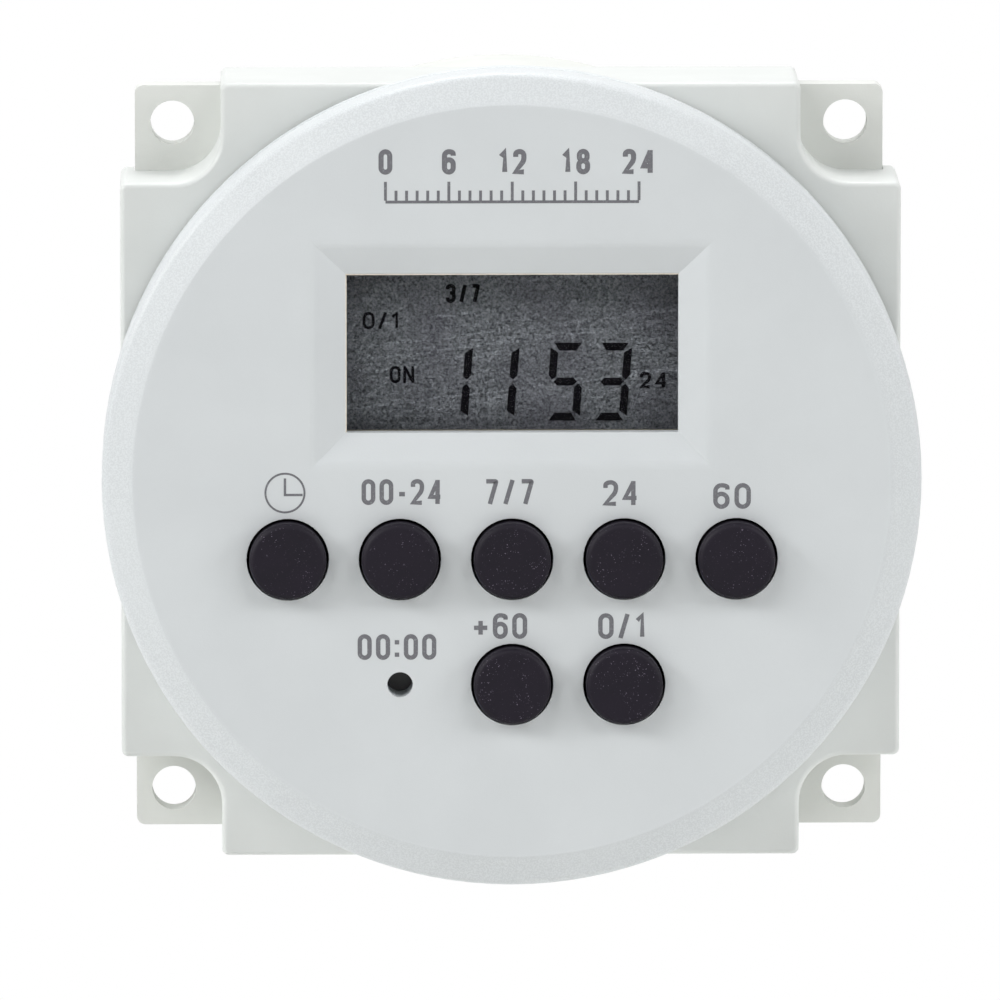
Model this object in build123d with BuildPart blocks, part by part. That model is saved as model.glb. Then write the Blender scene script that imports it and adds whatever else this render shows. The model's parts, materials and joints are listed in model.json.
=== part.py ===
from build123d import *
import os

os.makedirs("parts", exist_ok=True)

# An electronic timer for mounting on a panel, in millimetres.
# The origin is on the axis of the round front, in the panel's plane.
# +X is right, +Z is up and the front looks along -Y.
# Heights are counted from the panel: positive in front of it, negative behind.

# Round cover
cover_d = 74.0
cover_rise = 8.0
cover_face_wall = 2.0
cover_skirt_wall = 1.9
cover_seam = 0.4
rim_width = 2.8
rim_drop = 1.3
rim_round = 0.9
rim_top_round = 0.35
skirt_foot_round = 0.3
skirt_inner_round = 0.6
# A thin shadow groove above a bead at the skirt's foot
foot_bead_h = 1.3
foot_bead_round = 0.25
foot_groove_h = 0.6
foot_groove_depth = 0.45

# Square housing with notched corners
cover_overhang = 1.7
housing_h = 13.0
housing_wall = 1.2
housing_front_wall = 2.0
notch_depth = 9.1
notch_round = 4.4
corner_round = 0.6
edge_round = 0.45
ring_h = 1.2
ring_wall = 1.2
ring_clearance = 0.1
opening_inset = 8.5

# Flange with the panel holes
flange_t = 3.0
flange_clearance = 0.1
flange_round = 0.8
panel_hole_d = 4.0
panel_hole_inset = 3.4

# Barrel behind the panel
barrel_inset = 1.0
barrel_depth = 31.5
barrel_wall = 2.0
barrel_edge_round = 1.2

# Display window, measured across X and Z
window_w = 30.0
window_h = 14.4
window_z = 11.6
recess_border = 2.85
recess_depth = 1.2
recess_round = 2.0
window_edge_round = 0.15
window_lip = 1.2
lens_t = 1.0
lens_lap = 1.4
lens_corner = 0.3
pad_rim = 1.4

# Liquid crystal cell and what holds it
glass_t = 1.0
glass_side_lap = 1.7
glass_ledge = 1.9
glass_corner = 0.15
reflector_t = 0.3
reflector_inset_x = 0.3
reflector_inset_z = 0.2
cell_clearance = 0.1
lcd_frame_rim = 1.3
lcd_frame_corner = 0.8
lcd_frame_ledge_x = 3.0
lcd_frame_ledge_z = 2.0
zebra_w = 1.5
zebra_from_end = 1.5
zebra_clearance = 0.1

# Keys
key_pitch = 10.12
key_row_z = -7.0
key_row_gap = 11.42
key_d = 6.95
key_clearance = 0.25
key_proud = 1.5
key_round = 0.5
key_travel = 1.0
key_collar_wall = 0.9
key_collar_depth = 2.0
key_foot_rim = 0.92
key_foot_t = 1.0
key_fillet = 0.3
key_stub_d = 4.0
pill_d = 3.4
pill_t = 0.4
pill_gap = 0.1
key_seat = 0.3
mat_t = 1.0
mat_margin = 0.2
mat_lip_h = 1.4
mat_lip_wall = 0.6
mat_clearance = 0.2

# Reset pinhole and its switch
pinhole_d = 2.3
pinhole_collar_wall = 1.0
switch_w = 6.0
switch_h = 3.5
switch_corner = 0.5
switch_well = 1.75
plunger_d = 3.2
plunger_clearance = 0.1
plunger_travel = 0.25
plunger_proud = 0.9
plunger_spare = 0.1
plunger_edge = 0.2

# Control board, carried by the cover
board_t = 1.6
control_board_drop = 0.5
board_clearance = 0.5
board_screw_upper = (22.6, 11.4)
board_screw_lower = (18.6, -17.6)
screw_boss_d = 4.4
small_pilot_d = 1.6
small_shank_d = 1.5
small_hole_d = 2.2
small_head_d = 3.5
small_head_t = 1.3
small_grip = 4.0
pilot_spare = 0.5
pan_round_share = 0.45
cross_long_share = 0.55
cross_short_share = 0.14
cross_depth_share = 0.5
cover_screw_inset = 3.0
cover_screw_angle = 69.5

# What the control board carries on its back
chip_spot = (-3.0, 10.5)
chip_w = 9.0
chip_t = 1.4
chip_leads = 8
chip_lead_pitch = 1.0
chip_lead_w = 0.35
chip_lead_l = 1.6
chip_lead_out = 0.7
chip_stand = 0.1
chip_edge = 0.2
crystal_spot = (4.5, 13.5)
crystal_d = 2.0
crystal_l = 6.0
crystal_edge = 0.25
resistor_spot = (15.0, 9.0)
resistor_size = (1.25, 2.0, 0.55)
resistor_pitch = (2.2, 3.0)
ceramic_spot = (-15.0, 9.0)
ceramic_size = (2.0, 1.25, 0.9)
ceramic_pitch = 2.4
cell_spot = (0.0, -12.4)
cell_d = 20.0
cell_t = 3.2
cell_gap = 0.15
cell_edge = 0.3
cell_can_rim = 1.2
cell_can_step = 0.4
holder_wall = 1.0
holder_floor = 0.8
holder_h_share = 0.75
holder_gap_share = (0.45, 0.3)

# Mains board, carried by the barrel's back wall
power_board_stand = 3.9
power_board_edge = 0.6
power_screw_inset = 4.2
power_screw_start = 30.0
power_screw_spare = 0.2
power_tip_l = 0.7
power_boss_d = 5.0
power_shank_d = 1.8
power_pilot_d = 1.9
power_hole_d = 2.6
power_head_d = 4.4
power_head_t = 1.6

# Ribbon cable between the two boards
link_spot = (23.6, -1.0)
ribbon_w = 7.6
ribbon_t = 0.9
ribbon_gap = 0.1
ribbon_wires = 6
socket_w = 9.4
socket_t = 4.6
socket_h = 4.4
socket_corner = 0.4
socket_grip = 2.4

# What the mains board carries on its front
film_spot = (-8.0, -1.6)
film_w = 18.0
film_d = 8.4
film_h = 14.5
film_corner = 0.8
film_edge = 0.6
can_spot = (13.6, -1.4)
can_d = 10.0
can_h = 16.0
can_edge = 0.6
can_groove_h = 2.0
can_groove_depth = 0.6
can_bend = 0.3
varistor_spot = (-22.6, -3.0)
varistor_d = 10.0
varistor_t = 4.0
varistor_stand = 1.0
varistor_round = 1.2
varistor_lead_pitch = 5.0
resistor_body = (-10.0, -20.6, 3.6, 9.0)
diode_spots = [(4.6, -19.6), (8.6, -19.6), (12.6, -19.6), (16.6, -19.6)]
diode_d = 2.7
diode_l = 5.2
lead_d = 0.8
lead_pin_d = 0.7
lead_reach = 1.8
body_stand = 0.3

# Relay on the mains board, measured from its left end and the board
relay_spot = (-3.0, 13.0)
relay_l = 29.0
relay_w = 12.7
relay_h = 15.7
relay_skin = 0.8
relay_base_t = 1.6
relay_fit = 0.05
relay_corner = 0.7
relay_top_round = 0.5
relay_base_corner = 0.4
yoke_t = 1.2
yoke_w = 8.0
yoke_from_end = 2.5
coil_from_yoke = 6.0
bobbin_r = 5.0
bobbin_h = 6.9
bobbin_flange_t = 0.8
bobbin_tube_r = 2.9
coil_r = 4.6
core_r = 2.0
pole_r = 3.2
pole_t = 0.6
armature_gap = 0.5
armature_t = 1.2
armature_past_pole = 0.6
armature_corner = 0.8
hinge_play = 0.05
yoke_bend_share = 0.9
coil_edge = 0.3
leaf_t = 0.3
leaf_w = 4.0
leaf_past_contact = 0.3
leaf_corner = 0.6
rivet_r = 0.8
rivet_h = 0.4
rivet_pitch = 3.2
contact_from_hinge = 19.6
contact_r = 1.5
contact_t = 0.5
contact_gap = 1.0
contact_rest_gap = 0.05
contact_strip_t = 0.4
contact_strip_w = 3.0
contact_strip_gap = 0.5

# Screws that hold the flange to the square housing
housing_screw_d = 2.4
housing_screw_l = 9.6
housing_pilot_d = 2.5
housing_hole_d = 3.3
housing_head_d = 5.4
housing_boss_d = 5.8
housing_boss_inset = 3.8
housing_boss_below_notch = 7.2
screw_sink = 0.1
screw_head_play = 0.05
screw_tip_l = 1.0
screw_cross_l = 3.35
screw_cross_w = 0.6
screw_cross_depth = 0.9

# Quick-connect blades
blade_w = 6.35
blade_t = 0.8
blade_out = 8.6
blade_tip_l = 1.2
blade_tip_in = 1.3
blade_pitch = 10.0
blade_row_z = -12.0
blade_count = 5
blade_eye_d = 1.65
blade_eye_from_tip = 3.6
blade_slot_clearance = 0.15
blade_shoulder = 0.6
blade_shoulder_h = 1.6
pin_w = 1.2
pin_out = 0.8
pin_seat = 0.6
pin_clearance = 0.1
barrier_h = 4.5
barrier_t = 1.2
barrier_w = 12.0

# Values that follow from the sizes above
cover_front = housing_h + cover_rise
cover_inner = cover_front - cover_face_wall
cover_r = cover_d / 2
skirt_inner_r = cover_r - cover_skirt_wall
housing_w = cover_d - 2 * cover_overhang
housing_inner_w = housing_w - 2 * housing_wall
notch_corner = housing_w / 2 - notch_depth
flange_w = housing_inner_w - 2 * flange_clearance
panel_pitch = flange_w - 2 * panel_hole_inset
barrel_r = flange_w / 2 - barrel_inset
barrel_inner_r = barrel_r - barrel_wall
barrel_back_inner = -(barrel_depth - barrel_wall)
opening_r = cover_r - opening_inset
recess_w = window_w + 2 * recess_border
recess_h = window_h + 2 * recess_border
key_foot_d = key_d + 2 * key_foot_rim
housing_head_r = housing_head_d / 2 - screw_sink - screw_head_play
housing_cone_h = screw_sink + housing_head_r - housing_screw_d / 2

# Planes seen from the front, from behind and in section
FRONT = Plane.XZ
BACK = Plane((0, 0, 0), x_dir=(-1, 0, 0), z_dir=(0, 1, 0))


def front(height):
    """A plane parallel to the panel at a height in front of it."""
    return FRONT.offset(height)


def section(x, z):
    """A plane through the axis of a round piece at (x, z): radius across, height up."""
    return Plane((x, 0, z), x_dir=(1, 0, 0), z_dir=(0, 0, -1))


def axis_at(x, z):
    """The axis of a round piece at (x, z)."""
    return Axis((x, 0, z), (0, -1, 0))


def on_circle(radius, degrees):
    """A spot on a circle about the timer's axis, turned from +X towards +Z."""
    spot = Vector(radius, 0).rotate(Axis.Z, degrees)
    return (spot.X, spot.Y)


def notched_square(inset, outer_round=0.0):
    """The housing's outline, drawn in by inset: a square with four notched corners."""
    width = housing_w - 2 * inset
    notch = 2 * notch_depth
    with BuildSketch() as outline:
        Rectangle(width, width)
        with GridLocations(housing_w, housing_w, 2, 2):
            Rectangle(notch + 2 * inset, notch + 2 * inset, mode=Mode.SUBTRACT)
        inner = outline.vertices().sort_by_distance((0, 0, 0))[:4]
        fillet(inner, notch_round + inset)
        if outer_round:
            corners = outline.vertices().group_by(SortBy.DISTANCE)[-1]
            fillet(corners, outer_round)
    return outline.sketch


# Edges that lie in one plane are found to within this height
same_height = 1e-4

# Places of the keys, the reset switch and the screws
lower_row_z = key_row_z - key_row_gap
key_spots = {
    "clock_key": (-2 * key_pitch, key_row_z),
    "timer_key": (-key_pitch, key_row_z),
    "day_key": (0.0, key_row_z),
    "hour_key": (key_pitch, key_row_z),
    "minute_key": (2 * key_pitch, key_row_z),
    "add_hour_key": (0.0, lower_row_z),
    "override_key": (key_pitch, lower_row_z),
}
reset_spot = (-key_pitch, lower_row_z)
board_screw_spots = [(side_of * x, z) for side_of in (-1, 1)
                     for x, z in (board_screw_upper, board_screw_lower)]
cover_screw_r = opening_r + cover_screw_inset
cover_screw_spots = [on_circle(cover_screw_r, half + turn)
                     for half in (0.0, 180.0)
                     for turn in (cover_screw_angle, 180.0 - cover_screw_angle)]
housing_screw_x = housing_inner_w / 2 - housing_boss_inset
housing_screw_z = notch_corner - housing_boss_below_notch
housing_screw_spots = [(x, z) for x in (-housing_screw_x, housing_screw_x)
                       for z in (-housing_screw_z, housing_screw_z)]

# Heights in the display and keypad stack
pad_back = cover_front - recess_depth - window_lip - lens_t
board_front = housing_h - control_board_drop
board_back = board_front - board_t
board_r = opening_r - board_clearance
cell_front = pad_back - cell_clearance
key_top = cover_front + key_proud
key_hole_r = key_d / 2 + key_clearance
pill_back = board_front + key_travel + pill_gap
foot_back = cover_inner - key_collar_depth - key_seat - key_foot_t

# The groove and the bead at the skirt's foot
skirt_foot = housing_h + cover_seam
bead_top = skirt_foot + foot_bead_h
groove_top = bead_top + foot_groove_h
groove_r = cover_r - foot_groove_depth

# Round cover with its sloped rim
with BuildPart(FRONT) as front_cover:
    with BuildSketch(section(0, 0)):
        with BuildLine():
            FilletPolyline(
                (0, cover_front),
                (cover_r - rim_width, cover_front),
                (cover_r, cover_front - rim_drop),
                (cover_r, groove_top),
                (groove_r, groove_top),
                (groove_r, bead_top),
                (cover_r, bead_top),
                (cover_r, skirt_foot),
                (skirt_inner_r, skirt_foot),
                (skirt_inner_r, cover_inner),
                (0, cover_inner),
                radius=[
                    0, rim_top_round, rim_round, foot_bead_round, 0, 0,
                    foot_bead_round, skirt_foot_round, 0, skirt_inner_round, 0,
                ],
                close=True,
            )
        make_face()
    revolve(axis=axis_at(0, 0))
    # The deep frame behind the display window, the collars and the bosses
    with BuildSketch(front(pad_back)):
        with Locations((0, window_z)):
            RectangleRounded(
                recess_w + 2 * pad_rim, recess_h + 2 * pad_rim, pad_rim
            )
    extrude(amount=cover_inner - pad_back)
    with BuildSketch(front(cover_inner - key_collar_depth)):
        with Locations(*key_spots.values()):
            Circle(key_hole_r + key_collar_wall)
        with Locations(reset_spot):
            Circle(pinhole_d / 2 + pinhole_collar_wall)
    extrude(amount=key_collar_depth)
    with BuildSketch(front(board_front)):
        with Locations(*board_screw_spots):
            Circle(screw_boss_d / 2)
    extrude(amount=cover_inner - board_front)
    with BuildSketch(front(housing_h)):
        with Locations(*cover_screw_spots):
            Circle(screw_boss_d / 2)
    extrude(amount=cover_inner - housing_h)
    # The sloped frame, the window and the pocket for the clear lens
    with BuildSketch(front(cover_front)):
        with Locations((0, window_z)):
            Rectangle(recess_w, recess_h)
    with BuildSketch(front(cover_front - recess_depth)):
        with Locations((0, window_z)):
            Rectangle(window_w, window_h)
    loft(mode=Mode.SUBTRACT)
    with BuildSketch(front(cover_front)):
        with Locations((0, window_z)):
            Rectangle(window_w, window_h)
    extrude(amount=pad_back - cover_front, mode=Mode.SUBTRACT)
    # Its outer edges run softly into the face, its inner ones are just broken
    straight = front_cover.edges().filter_by(GeomType.LINE)
    outer_edges = [e for e in straight
                   if abs(e.center().Y + cover_front) < same_height]
    fillet(outer_edges, recess_round)
    recess_floor = cover_front - recess_depth
    inner_edges = [e for e in front_cover.edges()
                   if abs(e.center().Y + recess_floor) < same_height]
    fillet(inner_edges, window_edge_round)
    with BuildSketch(front(pad_back)):
        with Locations((0, window_z)):
            Rectangle(window_w + 2 * lens_lap, window_h + 2 * lens_lap)
    extrude(amount=lens_t, mode=Mode.SUBTRACT)
    # Key holes, the reset pinhole and the screws' pilot holes
    with BuildSketch(front(cover_front)):
        with Locations(*key_spots.values()):
            Circle(key_hole_r)
        with Locations(reset_spot):
            Circle(pinhole_d / 2)
    extrude(amount=-(cover_face_wall + key_collar_depth), mode=Mode.SUBTRACT)
    with BuildSketch(front(board_front)):
        with Locations(*board_screw_spots):
            Circle(small_pilot_d / 2)
    extrude(amount=small_grip + pilot_spare, mode=Mode.SUBTRACT)
    with BuildSketch(front(housing_h)):
        with Locations(*cover_screw_spots):
            Circle(small_pilot_d / 2)
    extrude(amount=small_grip + pilot_spare, mode=Mode.SUBTRACT)
front_cover.part.label = "front_cover"
export_step(front_cover.part, "parts/front_cover.step")

# Square housing: notched shell, ring that locates the cover, screw bosses
with BuildPart(FRONT) as square_housing:
    with BuildSketch(front(0)):
        add(notched_square(0, corner_round))
    extrude(amount=housing_h)
    rim = square_housing.faces().sort_by(Axis.Y)[0].outer_wire().edges()
    fillet(rim, edge_round)
    with BuildSketch(front(0)):
        add(notched_square(housing_wall))
    extrude(amount=housing_h - housing_front_wall, mode=Mode.SUBTRACT)
    # The flange is let in at the back, so the notch walls stand on it
    with BuildSketch(front(0)):
        Rectangle(housing_inner_w, housing_inner_w)
    extrude(amount=flange_t, mode=Mode.SUBTRACT)
    with BuildSketch(front(housing_h)):
        Circle(skirt_inner_r - ring_clearance)
        Circle(skirt_inner_r - ring_clearance - ring_wall, mode=Mode.SUBTRACT)
    extrude(amount=ring_h)
    with BuildSketch(front(flange_t)):
        with Locations(*housing_screw_spots):
            Circle(housing_boss_d / 2)
    extrude(amount=housing_h - housing_front_wall - flange_t)
    with BuildSketch(front(flange_t)):
        with Locations(*housing_screw_spots):
            Circle(housing_pilot_d / 2)
    extrude(amount=housing_screw_l - flange_t + pilot_spare, mode=Mode.SUBTRACT)
    with BuildSketch(front(housing_h)):
        Circle(opening_r)
        with Locations(*cover_screw_spots):
            Circle(small_hole_d / 2)
    extrude(amount=-housing_front_wall, mode=Mode.SUBTRACT)
square_housing.part.label = "square_housing"
export_step(square_housing.part, "parts/square_housing.step")

# Rear housing: flange with four screw tabs, barrel, closed back
blade_spots = [((n - (blade_count - 1) / 2) * blade_pitch, blade_row_z)
               for n in range(blade_count)]
barrier_spots = [((n - blade_count / 2) * blade_pitch, blade_row_z)
                 for n in range(blade_count + 1)]
power_screw_r = barrel_inner_r - power_screw_inset
with BuildPart(BACK) as rear_housing:
    with BuildSketch(front(0)):
        RectangleRounded(flange_w, flange_w, flange_round)
    extrude(amount=flange_t)
    with BuildSketch(front(0)):
        Circle(barrel_r)
    extrude(amount=-barrel_depth)
    back_edge = rear_housing.faces().sort_by(Axis.Y)[-1].edges()
    fillet(back_edge, barrel_edge_round)
    with BuildSketch(front(flange_t)):
        Circle(barrel_inner_r)
    extrude(amount=barrel_back_inner - flange_t, mode=Mode.SUBTRACT)
    # Bosses for the mains board and barriers between the blades
    with BuildSketch(front(barrel_back_inner)):
        with PolarLocations(power_screw_r, 3, start_angle=power_screw_start):
            Circle(power_boss_d / 2)
    extrude(amount=power_board_stand)
    with BuildSketch(front(barrel_back_inner)):
        with PolarLocations(power_screw_r, 3, start_angle=power_screw_start):
            Circle(power_pilot_d / 2)
    extrude(amount=power_board_stand, mode=Mode.SUBTRACT)
    with BuildSketch(front(-barrel_depth)):
        with Locations(*barrier_spots):
            RectangleRounded(barrier_t, barrier_w, barrier_t / 3)
    extrude(amount=-barrier_h)
    with BuildSketch(front(-barrel_depth)):
        with Locations(*blade_spots):
            slot = 2 * blade_slot_clearance
            Rectangle(blade_t + slot, blade_w + slot)
    extrude(amount=barrel_wall, mode=Mode.SUBTRACT)
    # Panel holes in the tabs, countersunk holes for the housing screws
    with BuildSketch(front(0)):
        with GridLocations(panel_pitch, panel_pitch, 2, 2):
            Circle(panel_hole_d / 2)
    extrude(amount=flange_t, mode=Mode.SUBTRACT)
    with Locations(*housing_screw_spots):
        CounterSinkHole(
            housing_hole_d / 2, housing_head_d / 2, counter_sink_angle=90
        )
rear_housing.part.label = "rear_housing"
export_step(rear_housing.part, "parts/rear_housing.step")

# Countersunk screws through the flange into the square housing
with BuildPart(FRONT) as housing_screws:
    for x, z in housing_screw_spots:
        with BuildSketch(section(x, z)):
            with BuildLine():
                Polyline(
                    (0, screw_sink),
                    (housing_head_r, screw_sink),
                    (housing_screw_d / 2, housing_cone_h),
                    (housing_screw_d / 2, housing_screw_l - screw_tip_l),
                    (housing_screw_d / 4, housing_screw_l),
                    (0, housing_screw_l),
                    close=True,
                )
            make_face()
        revolve(axis=axis_at(x, z))
        with BuildSketch(front(screw_sink)):
            with Locations((x, z)):
                Rectangle(screw_cross_l, screw_cross_w)
                Rectangle(screw_cross_w, screw_cross_l)
        extrude(amount=screw_cross_depth, mode=Mode.SUBTRACT)
housing_screws.part.label = "housing_screws"
export_step(housing_screws.part, "parts/housing_screws.step")


def pan_screws(spots, under_head, head_d, head_t, shank_d, length):
    """Pan-head screws at the spots, heads behind under_head, shanks to the front."""
    for x, z in spots:
        with BuildSketch(section(x, z)) as profile:
            with BuildLine():
                FilletPolyline(
                    (0, under_head - head_t),
                    (head_d / 2, under_head - head_t),
                    (head_d / 2, under_head),
                    (shank_d / 2, under_head),
                    (shank_d / 2, under_head + length - shank_d / 2),
                    (0, under_head + length),
                    radius=[0, head_t * pan_round_share, 0, 0, 0, 0],
                    close=True,
                )
            make_face()
        revolve(profile.sketch, axis=axis_at(x, z))
        with BuildSketch(front(under_head - head_t)) as cross:
            with Locations((x, z)):
                cross_l = head_d * cross_long_share
                cross_w = head_d * cross_short_share
                Rectangle(cross_l, cross_w)
                Rectangle(cross_w, cross_l)
        cross_depth = head_t * cross_depth_share
        extrude(cross.sketch, amount=cross_depth, mode=Mode.SUBTRACT)


# Screws from behind that hold the cover, and the control board to the cover
with BuildPart(FRONT) as cover_screws:
    pan_screws(cover_screw_spots, housing_h - housing_front_wall,
               small_head_d, small_head_t, small_shank_d,
               housing_front_wall + small_grip)
cover_screws.part.label = "cover_screws"
export_step(cover_screws.part, "parts/cover_screws.step")

with BuildPart(FRONT) as board_screws:
    pan_screws(board_screw_spots, board_back, small_head_d, small_head_t,
               small_shank_d, board_t + small_grip)
board_screws.part.label = "board_screws"
export_step(board_screws.part, "parts/board_screws.step")

# Clear lens in the cover's pocket
with BuildPart(FRONT) as display_window:
    with BuildSketch(front(pad_back)):
        with Locations((0, window_z)):
            lens_w = window_w + 2 * lens_lap - 2 * cell_clearance
            lens_h = window_h + 2 * lens_lap - 2 * cell_clearance
            Rectangle(lens_w, lens_h)
    extrude(amount=lens_t)
    chamfer(display_window.edges().filter_by(Axis.Y), lens_corner)
display_window.part.label = "display_window"
export_step(display_window.part, "parts/display_window.step")

# Liquid crystal cell: a front glass with a contact ledge above and below
glass_w = window_w + 2 * glass_side_lap
front_glass_h = window_h + 2 * glass_ledge
rear_glass_h = window_h
with BuildPart(FRONT) as lcd_front_glass:
    with BuildSketch(front(cell_front)):
        with Locations((0, window_z)):
            Rectangle(glass_w, front_glass_h)
    extrude(amount=-glass_t)
    chamfer(lcd_front_glass.edges().filter_by(Axis.Y), glass_corner)
lcd_front_glass.part.label = "lcd_front_glass"
export_step(lcd_front_glass.part, "parts/lcd_front_glass.step")

with BuildPart(FRONT) as lcd_rear_glass:
    with BuildSketch(front(cell_front - glass_t)):
        with Locations((0, window_z)):
            Rectangle(glass_w, rear_glass_h)
    extrude(amount=-glass_t)
    chamfer(lcd_rear_glass.edges().filter_by(Axis.Y), glass_corner)
lcd_rear_glass.part.label = "lcd_rear_glass"
export_step(lcd_rear_glass.part, "parts/lcd_rear_glass.step")

cell_back = cell_front - 2 * glass_t - reflector_t
with BuildPart(FRONT) as lcd_reflector:
    with BuildSketch(front(cell_back)):
        with Locations((0, window_z)):
            Rectangle(
                glass_w - 2 * reflector_inset_x, rear_glass_h - 2 * reflector_inset_z
            )
    extrude(amount=reflector_t)
lcd_reflector.part.label = "lcd_reflector"
export_step(lcd_reflector.part, "parts/lcd_reflector.step")

# Elastomer connectors from the ledges to the board
zebra_z = (front_glass_h + rear_glass_h) / 4
with BuildPart(FRONT) as zebra_strips:
    with BuildSketch(front(board_front)):
        with Locations((0, window_z - zebra_z), (0, window_z + zebra_z)):
            Rectangle(glass_w - 2 * zebra_from_end, zebra_w)
    extrude(amount=cell_front - glass_t - board_front)
zebra_strips.part.label = "zebra_strips"
export_step(zebra_strips.part, "parts/zebra_strips.step")

# Frame that holds the cell between the board and the lens
with BuildPart(FRONT) as lcd_frame:
    with BuildSketch(front(board_front)):
        with Locations((0, window_z)):
            RectangleRounded(
                glass_w + 2 * cell_clearance + 2 * lcd_frame_rim,
                front_glass_h + 2 * cell_clearance + 2 * lcd_frame_rim,
                lcd_frame_corner,
            )
    extrude(amount=pad_back - board_front)
    with BuildSketch(front(pad_back)):
        with Locations((0, window_z)):
            Rectangle(glass_w + 2 * cell_clearance, front_glass_h + 2 * cell_clearance)
    extrude(amount=cell_back - pad_back, mode=Mode.SUBTRACT)
    with BuildSketch(front(board_front)):
        with Locations((0, window_z)):
            Rectangle(
                glass_w - 2 * lcd_frame_ledge_x, rear_glass_h - 2 * lcd_frame_ledge_z
            )
        with Locations((0, window_z - zebra_z), (0, window_z + zebra_z)):
            Rectangle(
                glass_w - 2 * zebra_from_end + 2 * zebra_clearance,
                zebra_w + 2 * zebra_clearance,
            )
    extrude(amount=pad_back - board_front, mode=Mode.SUBTRACT)
lcd_frame.part.label = "lcd_frame"
export_step(lcd_frame.part, "parts/lcd_frame.step")

# Silicone mat under the keys, with a lip round each key's foot
with BuildPart(FRONT) as keypad_mat:
    mat_r = key_foot_d / 2 + mat_clearance + mat_lip_wall
    with BuildSketch(front(board_front)):
        with Locations((0, key_row_z)):
            SlotCenterToCenter(4 * key_pitch, 2 * (mat_r + mat_margin))
        with Locations((key_pitch / 2, lower_row_z)):
            SlotCenterToCenter(key_pitch, 2 * (mat_r + mat_margin))
        with Locations((key_pitch / 2, (key_row_z + lower_row_z) / 2)):
            Rectangle(2 * key_pitch, key_row_gap)
    extrude(amount=mat_t)
    with BuildSketch(front(board_front)):
        with Locations(*key_spots.values()):
            Circle(mat_r)
    extrude(amount=mat_t + mat_lip_h)
    with BuildSketch(front(board_front)):
        with Locations(*key_spots.values()):
            Circle(mat_r - mat_lip_wall)
    extrude(amount=mat_t + mat_lip_h, mode=Mode.SUBTRACT)
keypad_mat.part.label = "keypad_mat"
export_step(keypad_mat.part, "parts/keypad_mat.step")

# Seven keys, each with a foot behind the cover and a carbon pill under its stub
for name, (x, z) in key_spots.items():
    with BuildPart(FRONT) as key:
        with BuildSketch(section(x, z)):
            with BuildLine():
                FilletPolyline(
                    (0, key_top),
                    (key_d / 2, key_top),
                    (key_d / 2, foot_back + key_foot_t),
                    (key_foot_d / 2, foot_back + key_foot_t),
                    (key_foot_d / 2, foot_back),
                    (key_stub_d / 2, foot_back),
                    (key_stub_d / 2, pill_back + pill_t),
                    (0, pill_back + pill_t),
                    radius=[0, key_round, key_fillet, 0, 0, key_fillet, 0, 0],
                    close=True,
                )
            make_face()
        revolve(axis=axis_at(x, z))
    key.part.label = name
    export_step(key.part, f"parts/{name}.step")
    with BuildPart(FRONT) as pill:
        with BuildSketch(front(pill_back)):
            with Locations((x, z)):
                Circle(pill_d / 2)
        extrude(amount=pill_t)
    pill.part.label = name.replace("_key", "_pill")
    export_step(pill.part, f"parts/{pill.part.label}.step")

# Reset switch on the board, with its plunger behind the pinhole
switch_top = board_front + switch_h
with BuildPart(FRONT) as reset_switch:
    with BuildSketch(front(board_front)):
        with Locations(reset_spot):
            RectangleRounded(switch_w, switch_w, switch_corner)
    extrude(amount=switch_h)
    with BuildSketch(front(switch_top)):
        with Locations(reset_spot):
            Circle(plunger_d / 2 + plunger_clearance)
    extrude(amount=-switch_well, mode=Mode.SUBTRACT)
reset_switch.part.label = "reset_switch"
export_step(reset_switch.part, "parts/reset_switch.step")

plunger_back = switch_top - switch_well + plunger_travel + plunger_spare
with BuildPart(FRONT) as reset_plunger:
    with BuildSketch(front(plunger_back)):
        with Locations(reset_spot):
            Circle(plunger_d / 2)
    extrude(amount=switch_top + plunger_proud - plunger_back)
    chamfer(reset_plunger.edges().group_by(Axis.Y)[0], plunger_edge)
reset_plunger.part.label = "reset_plunger"
export_step(reset_plunger.part, "parts/reset_plunger.step")

# Control board and what it carries on its back
with BuildPart(FRONT) as control_board:
    with BuildSketch(front(board_back)):
        Circle(board_r)
        with Locations(*board_screw_spots):
            Circle(small_hole_d / 2, mode=Mode.SUBTRACT)
    extrude(amount=board_t)
control_board.part.label = "control_board"
export_step(control_board.part, "parts/control_board.step")

with BuildPart(FRONT) as microcontroller:
    with BuildSketch(front(board_back - chip_stand)):
        with Locations(chip_spot):
            Rectangle(chip_w, chip_w)
    extrude(amount=-chip_t)
    chamfer(microcontroller.edges(), chip_edge)
    # Leads along all four sides, their feet on the board
    with BuildSketch(front(board_back)):
        with Locations(chip_spot):
            lead_row = chip_w + 2 * chip_lead_out
            with GridLocations(chip_lead_pitch, lead_row, chip_leads, 2):
                Rectangle(chip_lead_w, chip_lead_l)
            with GridLocations(lead_row, chip_lead_pitch, 2, chip_leads):
                Rectangle(chip_lead_l, chip_lead_w)
    extrude(amount=-chip_lead_w)
microcontroller.part.label = "microcontroller"
export_step(microcontroller.part, "parts/microcontroller.step")

with BuildPart(FRONT) as crystal:
    with BuildSketch(Plane.YZ.offset(crystal_spot[0])):
        with Locations((-(board_back - crystal_d / 2), crystal_spot[1])):
            Circle(crystal_d / 2)
    extrude(amount=crystal_l)
    chamfer(crystal.edges(), crystal_edge)
crystal.part.label = "crystal"
export_step(crystal.part, "parts/crystal.step")

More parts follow.
